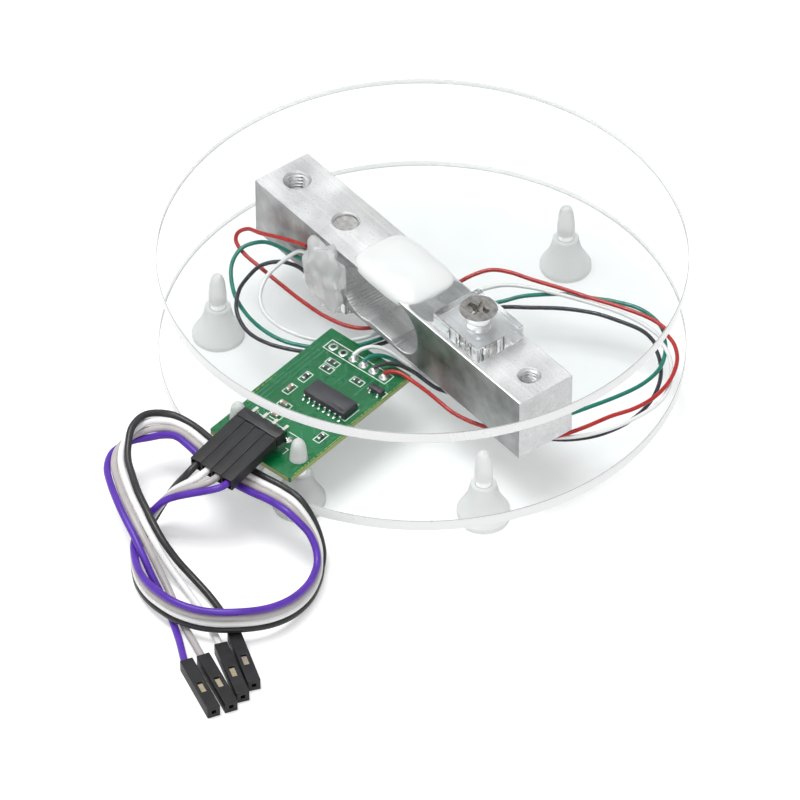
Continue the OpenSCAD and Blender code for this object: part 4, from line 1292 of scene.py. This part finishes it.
@dataclass
class Screws:
    """The two countersunk cross-head screws."""

    cross: Sequence[float] = (20, 110)
    lid_proud: float = 1.45
    base_proud: float = 2.05

    def build_one(self, node: str, thread: float, head: float, hole: float, length: float, pitch: float,
                  place: Matrix) -> bpy.types.Object:
        """Makes one screw with its head at the top.

        Args:
            node: the solid that it stands for.
            thread: its thread's outside diameter.
            head: its head's diameter.
            hole: radius of the hole that the head sits in.
            length: overall length.
            pitch: pitch of its thread.
            place: from the screw's frame, head upward at Z = 0, to the part's frame.

        Returns:
            The screw.
        """
        rim, play, depth = 0.25, 0.25, 0.3
        neck = -rim - (head / 2 - hole + play)
        shape = bmesh.new()
        add_thread(shape, thread / 2 - depth, thread / 2 - 0.01, pitch, -length, neck - 0.6, (0, 0))
        body = [
            (0, neck - 0.9), (thread / 2 - depth, neck - 0.9), (thread / 2 - 0.02, neck - 0.4),
            (hole - play, neck), (head / 2 - 0.05, -rim), (head / 2, -rim + 0.06), (head / 2, -0.07),
            (head / 2 - 0.08, 0.0), (head / 4, 0.015), (0, 0.02)]
        add_lathe(shape, body, 64)
        piece = finish_piece(node + "_steel", shape, Finishes.steel, place)
        cutter = bmesh.new()
        slot, reach = 0.26 * thread, 0.6 * head
        for turn in self.cross:
            aim = Matrix.Rotation(math.radians(turn), 4, "Z")
            low, high = (-reach / 2, -slot / 2, -0.35 * thread), (reach / 2, slot / 2, thread)
            add_box(cutter, low, high, place @ aim)
        cone_tool = bmesh.new()
        tip = -0.42 * thread
        add_lathe(cone_tool, [(0, tip), (0.1 * thread, tip), (0.3 * thread, 0.1), (0, 0.1)], 32)
        bmesh.ops.transform(cone_tool, matrix=place, verts=cone_tool.verts)
        cut(piece, cutter)
        cut(piece, cone_tool)
        return stand_for(piece, "screw_steel", node)

    def build(self) -> list[bpy.types.Object]:
        """Makes the screw of the top plate and the larger one of the base plate."""
        top = Matrix.Translation((STACK.screw_x, STACK.beam_y, STACK.lid_high + self.lid_proud))
        under = Matrix.Translation((-STACK.screw_x, STACK.beam_y, STACK.base_low - self.base_proud))
        base = under @ Matrix.Rotation(math.pi, 4, "X")
        return [
            self.build_one("top_screw", thread=4.0, head=7.2, hole=STACK.lid_hole, length=16.0, pitch=0.7,
                           place=top),
            self.build_one("base_screw", thread=5.0, head=9.2, hole=STACK.base_hole, length=20.0, pitch=0.8,
                           place=base)]


# The beam and what is glued to it


@dataclass
class Beam:
    """The bending beam: a saw-cut bar with a two-lobed cut-out and four tapped holes."""

    length: float = 80.0
    low: float = STACK.beam_low
    high: float = STACK.beam_high
    near: float = -8.95
    far: float = 3.75
    cut_x: float = -1.75
    lobe: float = 5.6
    gap: float = 11.5
    slot: float = 10.0
    round_edge: float = 0.18
    ridges: int = 58
    ridge: float = 0.08
    overcut: float = 0.5
    holes: Sequence[Point] = (
        (-35.0, 2.1, 2.55, 0.8), (-STACK.screw_x, 2.28, 2.58, 0.8),
        (STACK.screw_x, 1.78, 2.08, 0.7), (35.0, 1.65, 2.05, 0.7))

    def cut_out(self) -> list[Point]:
        """The outline of the cut-out in X and Z, with the cutter's ridges on it."""
        middle = (self.low + self.high) / 2
        start = math.degrees(math.asin(self.slot / 2 / self.lobe))
        points = []
        sweep, steps = 2 * (180 - start), 320
        for side, first in ((1, start - 180), (-1, start)):
            for k in range(steps + 1):
                a = math.radians(first + sweep * k / steps)
                wave = self.ridge * math.sin(self.ridges * a)
                x = self.cut_x + side * self.gap / 2 + (self.lobe + wave) * math.cos(a)
                points.append((x, middle + (self.lobe + wave) * math.sin(a)))
        return points

    def build(self) -> bpy.types.Object:
        """Makes the beam and cuts its threads.

        Returns:
            The beam.
        """
        half = self.length / 2
        outline = rounded_rectangle((-half, self.low), (half, self.high), 0.1, 2)
        shape = slab([outline, self.cut_out()], 0, self.far - self.near, self.round_edge)
        upright = Matrix(((1, 0, 0, 0), (0, 0, -1, self.far), (0, 1, 0, 0), (0, 0, 0, 1)))
        bmesh.ops.transform(shape, matrix=upright, verts=shape.verts)
        piece = finish_piece("beam_bar", shape, Finishes.beam)
        for x, inner, outer, pitch in self.holes:
            cutter = bmesh.new()
            low, high = self.low - self.overcut, self.high + self.overcut
            add_thread(cutter, inner, outer, pitch, low, high, (x, STACK.beam_y), 36, 6)
            cut(piece, cutter)
            for z, flip in ((self.high, 1), (self.low, -1)):
                sink = bmesh.new()
                rim = [(0, z - flip * 0.8), (outer - 0.35, z - flip * 0.55),
                       (outer + 0.25, z + flip * 0.05), (0, z + flip * 0.05)]
                add_lathe(sink, rim, 48, (x, STACK.beam_y, 0))
                cut(piece, sink)
        return stand_for(piece, "beam_aluminium", "sensor_beam")


@dataclass
class Sealants:
    """The white silicone over the gauges and the cloudy glue over the leads."""

    beam: Beam
    start: float = -11.4
    end: float = 7.2
    lip: float = 0.35
    dome: float = 2.0
    below: float = 0.9
    smear_end: float = 13.0
    rings: int = 40
    spokes: int = 96
    glue_x: float = -17.6
    glue_z: float = 18.3
    glue_half: Point = (5.3, 3.0, 7.4)
    glue_lean: float = 0.5
    glue_power: float = 2.8
    glue_bite: float = 0.02

    def pillow(self, name: str, low: Point, high: Point, z: float, height: Callable[[float, float], float],
               drop: float, finish: Finish, flip: float = 1.0) -> bpy.types.Object:
        """Makes a domed cushion of sealant on a flat face.

        Args:
            name: the piece's name.
            low: X and Y of one corner.
            high: X and Y of the other.
            z: height of the face that it lies on.
            height: its height over the face, by a place from -1 to 1 each way.
            drop: how far its rim reaches past the face.
            finish: what it wears.
            flip: 1 for a cushion on top and -1 for one below.

        Returns:
            The piece.
        """
        shape = bmesh.new()
        middle = ((low[0] + high[0]) / 2, (low[1] + high[1]) / 2)
        half = ((high[0] - low[0]) / 2, (high[1] - low[1]) / 2)
        rings = []
        for i in range(self.rings + 1):
            share = i / self.rings
            ring = []
            for k in range(self.spokes):
                turn = 2 * math.pi * k / self.spokes
                c, s = math.cos(turn), math.sin(turn)
                reach = share / squircle(c, s)
                u, v = reach * c, reach * s
                ring.append(shape.verts.new((middle[0] + half[0] * u, middle[1] + half[1] * v,
                                             z + flip * height(u, v))))
                if i == 0:
                    break
            rings.append(ring)
        edge = [shape.verts.new((v.co.x, v.co.y, z - flip * drop)) for v in rings[-1]]
        rings.append(edge)
        for inner, outer in zip(rings, rings[1:]):
            for k in range(len(outer)):
                n = (k + 1) % len(outer)
                corners = list(dict.fromkeys([inner[k % len(inner)], outer[k], outer[n],
                                              inner[n % len(inner)]]))
                shape.faces.new(corners)
        shape.faces.new(list(reversed(edge)))
        return finish_piece(name, shape, finish, degrees=60)

    def domed(self, tall: float, lumps: float, seed: float) -> Callable[[float, float], float]:
        """A round-topped height with soft lumps.

        Args:
            tall: height at the middle.
            lumps: size of the lumps.
            seed: where the lumps are taken from.

        Returns:
            The height by a place from -1 to 1 each way.
        """
        def height(u: float, v: float) -> float:
            """Height at one place."""
            away = squircle(u, v)
            rise = max(0.0, 1 - away ** 2.6) ** 0.55
            uneven = noise.noise(Vector((u * 1.7 + seed, v * 1.7, seed)))
            return max(0.02, tall * rise * (1 + lumps * uneven))
        return height

    def glue(self) -> bpy.types.Object:
        """Makes the cloudy lump of glue that holds the leads to the beam's near face."""
        shape = bmesh.new()
        bmesh.ops.create_icosphere(shape, subdivisions=6, radius=1.0)
        face, power = self.beam.near - self.glue_bite, self.glue_power
        half_x, half_y, half_z = self.glue_half
        for vert in shape.verts:
            d = vert.co.normalized()
            wide = (abs(d.x) ** power + abs(d.y) ** power + abs(d.z) ** power) ** (-1 / power)
            lump = 1 + 0.3 * noise.noise(d * 2.2 + Vector((3, 1, 7))) + 0.06 * noise.noise(d * 4.0)
            place = d * wide * lump
            x = self.glue_x + half_x * place.x + self.glue_lean * place.z
            y = face + half_y * min(0.0, place.y)
            vert.co = (x, min(y, face), self.glue_z + half_z * place.z)
        return finish_piece("lead_glue", shape, Finishes.glue, degrees=70)

    def build(self) -> list[bpy.types.Object]:
        """Makes the three sealant pieces, the thin smear and the gauges under them."""
        near, far = self.beam.near, self.beam.far
        top = self.pillow("top_silicone", (self.start, near - self.lip), (self.end, far + self.lip),
                          self.beam.high, self.domed(self.dome, 0.1, 2.0), 0.9, Finishes.silicone)
        stand_for(top, "white_sealant", "sealant_top")
        low = self.pillow("low_silicone", (self.start, near + 1), (self.end, far - 1), self.beam.low,
                          self.domed(self.below, 0.12, 5.0), 0.0, Finishes.silicone, -1.0)
        stand_for(low, "white_sealant", "sealant_bottom")
        lump = stand_for(self.glue(), "cloudy_sealant", "lead_sealant")
        smear = self.pillow("clear_smear", (self.end - 2.5, near + 0.5), (self.smear_end, far - 0.3),
                            self.beam.high, self.domed(0.35, 0.5, 9.0), 0.0, Finishes.smear)
        gauges = dressed("strain_gauges", Finishes.foil, "gauge_foil", 0.02, 1)
        return [top, low, lump, smear, gauges]


# The converter board and its parts


@dataclass
class Board:
    """The green converter board with its copper, print, parts and joints."""

    place: BoardPlace
    foot_hole: float = 1.85
    drill: float = 0.5
    print_height: float = 0.03
    line: float = 0.16
    chip: Point = (3.3, 1.9)
    chip_size: Point = (9.9, 3.9)
    transistor: Point = (8.0, 9.6)
    resistors: Sequence[Point] = ((-3.3, 8.2, 0), (-3.5, 10.1, 0), (3.4, 9.3, 0), (-4.9, 4.0, 90),
                                  (7.3, -5.3, 90))
    capacitors: Sequence[Point] = ((-5.0, -0.3, 90), (-2.9, -4.1, 0), (-3.1, -6.5, 0))

    def pads(self) -> list[Point]:
        """The six pads at the beam's end."""
        return [((i - 2.5) * self.place.pitch, self.place.pad_y) for i in range(6)]

    def pins(self) -> list[Point]:
        """The four pin holes of the header."""
        return [(self.place.header_x + (i - 1.5) * self.place.pitch, self.place.pin_y) for i in range(4)]

    def build_sheet(self) -> bpy.types.Object:
        """Makes the bare board with its holes."""
        half = (self.place.width / 2, self.place.length / 2)
        loops = [rounded_rectangle((-half[0], -half[1]), half, 0.35, 3)]
        loops += [circle(side * Feet.board_x, Feet.board_y, self.foot_hole, 40) for side in (-1, 1)]
        loops += [circle(x, y, self.drill, 20) for x, y in self.pads() + self.pins()]
        shape = slab(loops, -self.place.thickness, 0.0, 0.05)
        piece = finish_piece("board_sheet", shape, Finishes.mask, self.place.matrix())
        return stand_for(piece, "board_green", "circuit_board")

    def add_line(self, shape: bmesh.types.BMesh, a: Point, b: Point, width: float, low: float = 0.0,
                 high: float | None = None) -> None:
        """Adds a raised line on the board.

        Args:
            shape: what the line is added to.
            a: the board's X and Y of its start.
            b: those of its end.
            width: how wide it is.
            low: its lower side, over the board.
            high: its upper side, that of the print if none is given.
        """
        start, end = Vector((*a[:2], 0)), Vector((*b[:2], 0))
        along = end - start
        turn = Matrix.Translation(start) @ Matrix.Rotation(math.atan2(along.y, along.x), 4, "Z")
        add_box(shape, (-width / 2, -width / 2, low), (along.length + width / 2, width / 2,
                                                       high or self.print_height), turn)

    def add_frame(self, shape: bmesh.types.BMesh, low: Point, high: Point) -> None:
        """Adds a printed rectangle."""
        corners = [(low[0], low[1]), (high[0], low[1]), (high[0], high[1]), (low[0], high[1])]
        for a, b in zip(corners, corners[1:] + corners[:1]):
            self.add_line(shape, a, b, self.line)

    def build_print(self) -> bpy.types.Object:
        """Makes the white printed outlines: boxes and marks round the parts, with no lettering."""
        shape = bmesh.new()
        pitch, pad_y = self.place.pitch, self.place.pad_y
        self.add_frame(shape, (-3.05 * pitch, pad_y - 1.3), (3.05 * pitch, pad_y + 1.3))
        for x, y, turn in [*self.resistors, *self.capacitors]:
            wide, deep = (1.35, 0.75) if turn == 0 else (0.75, 1.35)
            self.add_frame(shape, (x - wide, y - deep), (x + wide, y + deep))
        cx, cy = self.chip
        right, drop = cx + self.chip_size[0] / 2 + 0.45, self.chip_size[1] / 2
        self.add_line(shape, (right, cy - drop), (right, cy + drop), self.line)
        self.add_line(shape, (right, cy - drop), (right - 0.9, cy - drop), self.line)
        tx, ty = self.transistor
        for side in (-1, 1):
            self.add_line(shape, (tx + side * 1.9, ty + 0.9), (tx + side * 1.9, ty - 0.5), self.line)
            self.add_line(shape, (tx + side * 1.9, ty + 0.9), (tx + side * 1.1, ty + 0.9), self.line)
        low_x = self.place.header_x - 2.1 * pitch
        self.add_line(shape, (4.85, -13.07), (4.85, -11.57), self.line)
        self.add_line(shape, (4.2, -11.57), (4.85, -11.57), self.line)
        self.add_line(shape, (low_x, -8.0), (low_x + 4.2 * pitch, -8.0), self.line)
        return self._on_board("board_print", shape, Finishes.silk)

    def build_copper(self) -> bpy.types.Object:
        """Makes the masked copper lines that show as a lighter green."""
        shape = bmesh.new()
        runs = (
            ((-8.9, 15.6), (-8.9, -8.2), (-7.4, -9.6)), ((-8.0, 15.0), (-8.0, -7.6), (-4.8, -9.6)),
            ((-7.0, 11.6), (-7.0, -5.4), (-4.6, -7.8)), ((-6.3, 13.4), (-6.3, 11.6), (-5.4, 10.8)),
            ((-1.3, 13.4), (-1.3, 11.2), (0.4, 9.6), (0.4, 6.2)),
            ((1.3, 13.4), (1.3, 10.6), (2.0, 9.9), (2.0, 6.2)),
            ((3.8, 13.4), (5.4, 11.8), (5.4, 6.4)), ((6.3, 13.4), (9.2, 11.6), (9.2, -6.6), (7.4, -8.4)),
            ((0.0, -2.4), (0.0, -6.8), (-2.0, -8.8)), ((2.2, -2.4), (2.2, -5.2), (4.8, -7.8), (4.8, -10.4)),
            ((4.6, -2.4), (4.6, -4.2), (6.2, -5.8)), ((-8.9, -13.0), (-8.9, -15.6), (-2.0, -15.6)),
            ((9.2, -15.2), (9.2, -13.8)), ((-0.6, 4.9), (-2.6, 5.6), (-3.6, 7.0)))
        for run in runs:
            for a, b in zip(run, run[1:]):
                self.add_line(shape, a, b, 0.3, high=0.02)
        for x, y in ((-8.0, 11.0), (0.4, 7.6), (5.4, 7.0), (-7.0, 2.0), (2.2, -4.4), (0.0, -5.4),
                     (8.4, -1.2)):
            add_lathe(shape, [(0, 0), (0.42, 0), (0.4, 0.025), (0, 0.03)], 20, (x, y, 0))
        return self._on_board("board_copper", shape, Finishes.trace)

    def build_edges(self) -> list[bpy.types.Object]:
        """Makes the bare core round the board's edge and the dashed yellow score on two of its sides."""
        core = bmesh.new()
        proud, inset, skin = 0.015, 0.4, 0.12
        x, y = self.place.width / 2 + proud, self.place.length / 2 + proud
        low, high = -self.place.thickness + skin, -skin
        for side in (-1, 1):
            add_box(core, (side * x - proud, -y + inset, low), (side * x + proud, y - inset, high))
            add_box(core, (-x + inset, side * y - proud, low), (x - inset, side * y + proud, high))
        edge = self._on_board("board_edge", core, Finishes.core)
        score = bmesh.new()
        steps = random.Random(7)
        for x, first, last in ((self.place.width / 2 - 0.12, -15.5, 15.5),
                               (-self.place.width / 2 + 0.5, -7.0, 1.0)):
            y = first
            while y < last:
                run = steps.uniform(0.25, 0.9)
                self.add_line(score, (x, y), (x, min(last, y + run)), 0.12, high=0.02)
                y += run + steps.uniform(0.25, 0.8)
        return [edge, self._on_board("board_score", score, Finishes.score)]

    def _on_board(self, name: str, shape: bmesh.types.BMesh, finish: Finish) -> bpy.types.Object:
        """Finishes a shape drawn on the board's upper face."""
        piece = finish_piece(name, shape, finish, self.place.matrix())
        return piece

    def build_joints(self) -> list[bpy.types.Object]:
        """Makes the tinned rings, the solder blobs of the leads and those of the pins."""
        rings, leads, pins = bmesh.new(), bmesh.new(), bmesh.new()
        ring = [(self.drill + 0.02, -0.1), (self.drill + 0.02, 0.03), (0.9, 0.03), (0.95, 0.0)]
        blob = [(1.0, 0.0), (0.97, 0.08), (0.8, 0.2), (0.66, 0.42), (0.52, 0.62), (0.3, 0.74), (0, 0.78)]
        fillet = [(1.0, 0.0), (0.95, 0.06), (0.72, 0.2), (0.58, 0.42), (0.5, 0.55), (0.34, 0.6), (0, 0.6)]
        for i, (x, y) in enumerate(self.pads()):
            if i < 2:
                add_lathe(rings, ring, 40, (x, y, 0))
            else:
                add_lathe(leads, blob, 32, (x, y, 0))
        for x, y in self.pins():
            add_lathe(pins, fillet, 32, (x, y, 0))
        bare = self._on_board("bare_rings", rings, Finishes.solder)
        place = self.place.matrix()
        wired = stand_for(finish_piece("lead_solder", leads, Finishes.solder, place, 60), "solder_tin",
                          "lead_joints")
        fixed = stand_for(finish_piece("pin_solder", pins, Finishes.solder, place, 60), "solder_tin",
                          "pin_joints")
        return [bare, wired, fixed]

    def build_parts(self) -> list[bpy.types.Object]:
        """Makes the chip, the transistor, the small parts and the header."""
        parts = (
            ("converter_chip", Finishes.chip, "chip_plastic", 0.1),
            ("chip_legs", Finishes.solder, "solder_tin", 0.04),
            ("transistor", Finishes.chip, "chip_plastic", 0.08),
            ("transistor_legs", Finishes.solder, "solder_tin", 0.04),
            ("resistors", Finishes.resistor, "resistor_glaze", 0.04),
            ("capacitors", Finishes.ceramic, "capacitor_ceramic", 0.06),
            ("part_caps", Finishes.solder, "solder_tin", 0.06),
            ("header_strip", Finishes.socket, "socket_plastic", 0.12),
            ("header_pins", Finishes.pin, "pin_gold", 0.08),
        )
        return [dressed(*part) for part in parts]

    def build(self) -> list[bpy.types.Object]:
        """Makes the whole board and returns its pieces."""
        return [self.build_sheet(), self.build_copper(), self.build_print(), *self.build_edges(),
                *self.build_joints(), *self.build_parts()]


def main() -> None:
    """Builds the studio and then each sub-assembly, and logs the size of each piece."""
    logging.basicConfig(level=logging.INFO, format="%(name)s %(message)s")
    Studio().build()
    place = BoardPlace()
    jumpers = JumperLeads(place)
    leads = jumpers.build_leads()
    report("jumper leads", [curve for _, curve, _ in leads])
    report("sensor leads", SensorLeads(place).build())
    ends = jumpers.build_sockets()
    report("sockets", [piece for pieces in ends.values() for piece in pieces])
    beam = Beam()
    report("beam", [beam.build()])
    report("sealants", Sealants(beam).build())
    report("board", Board(place).build())
    plates = Plates()
    report("feet", Feet().build(plates.feet(place)))
    report("screws", Screws().build())
    report("spacers", Spacers().build())
    report("plates", plates.build(place))


if __name__ == "__main__":
    main()
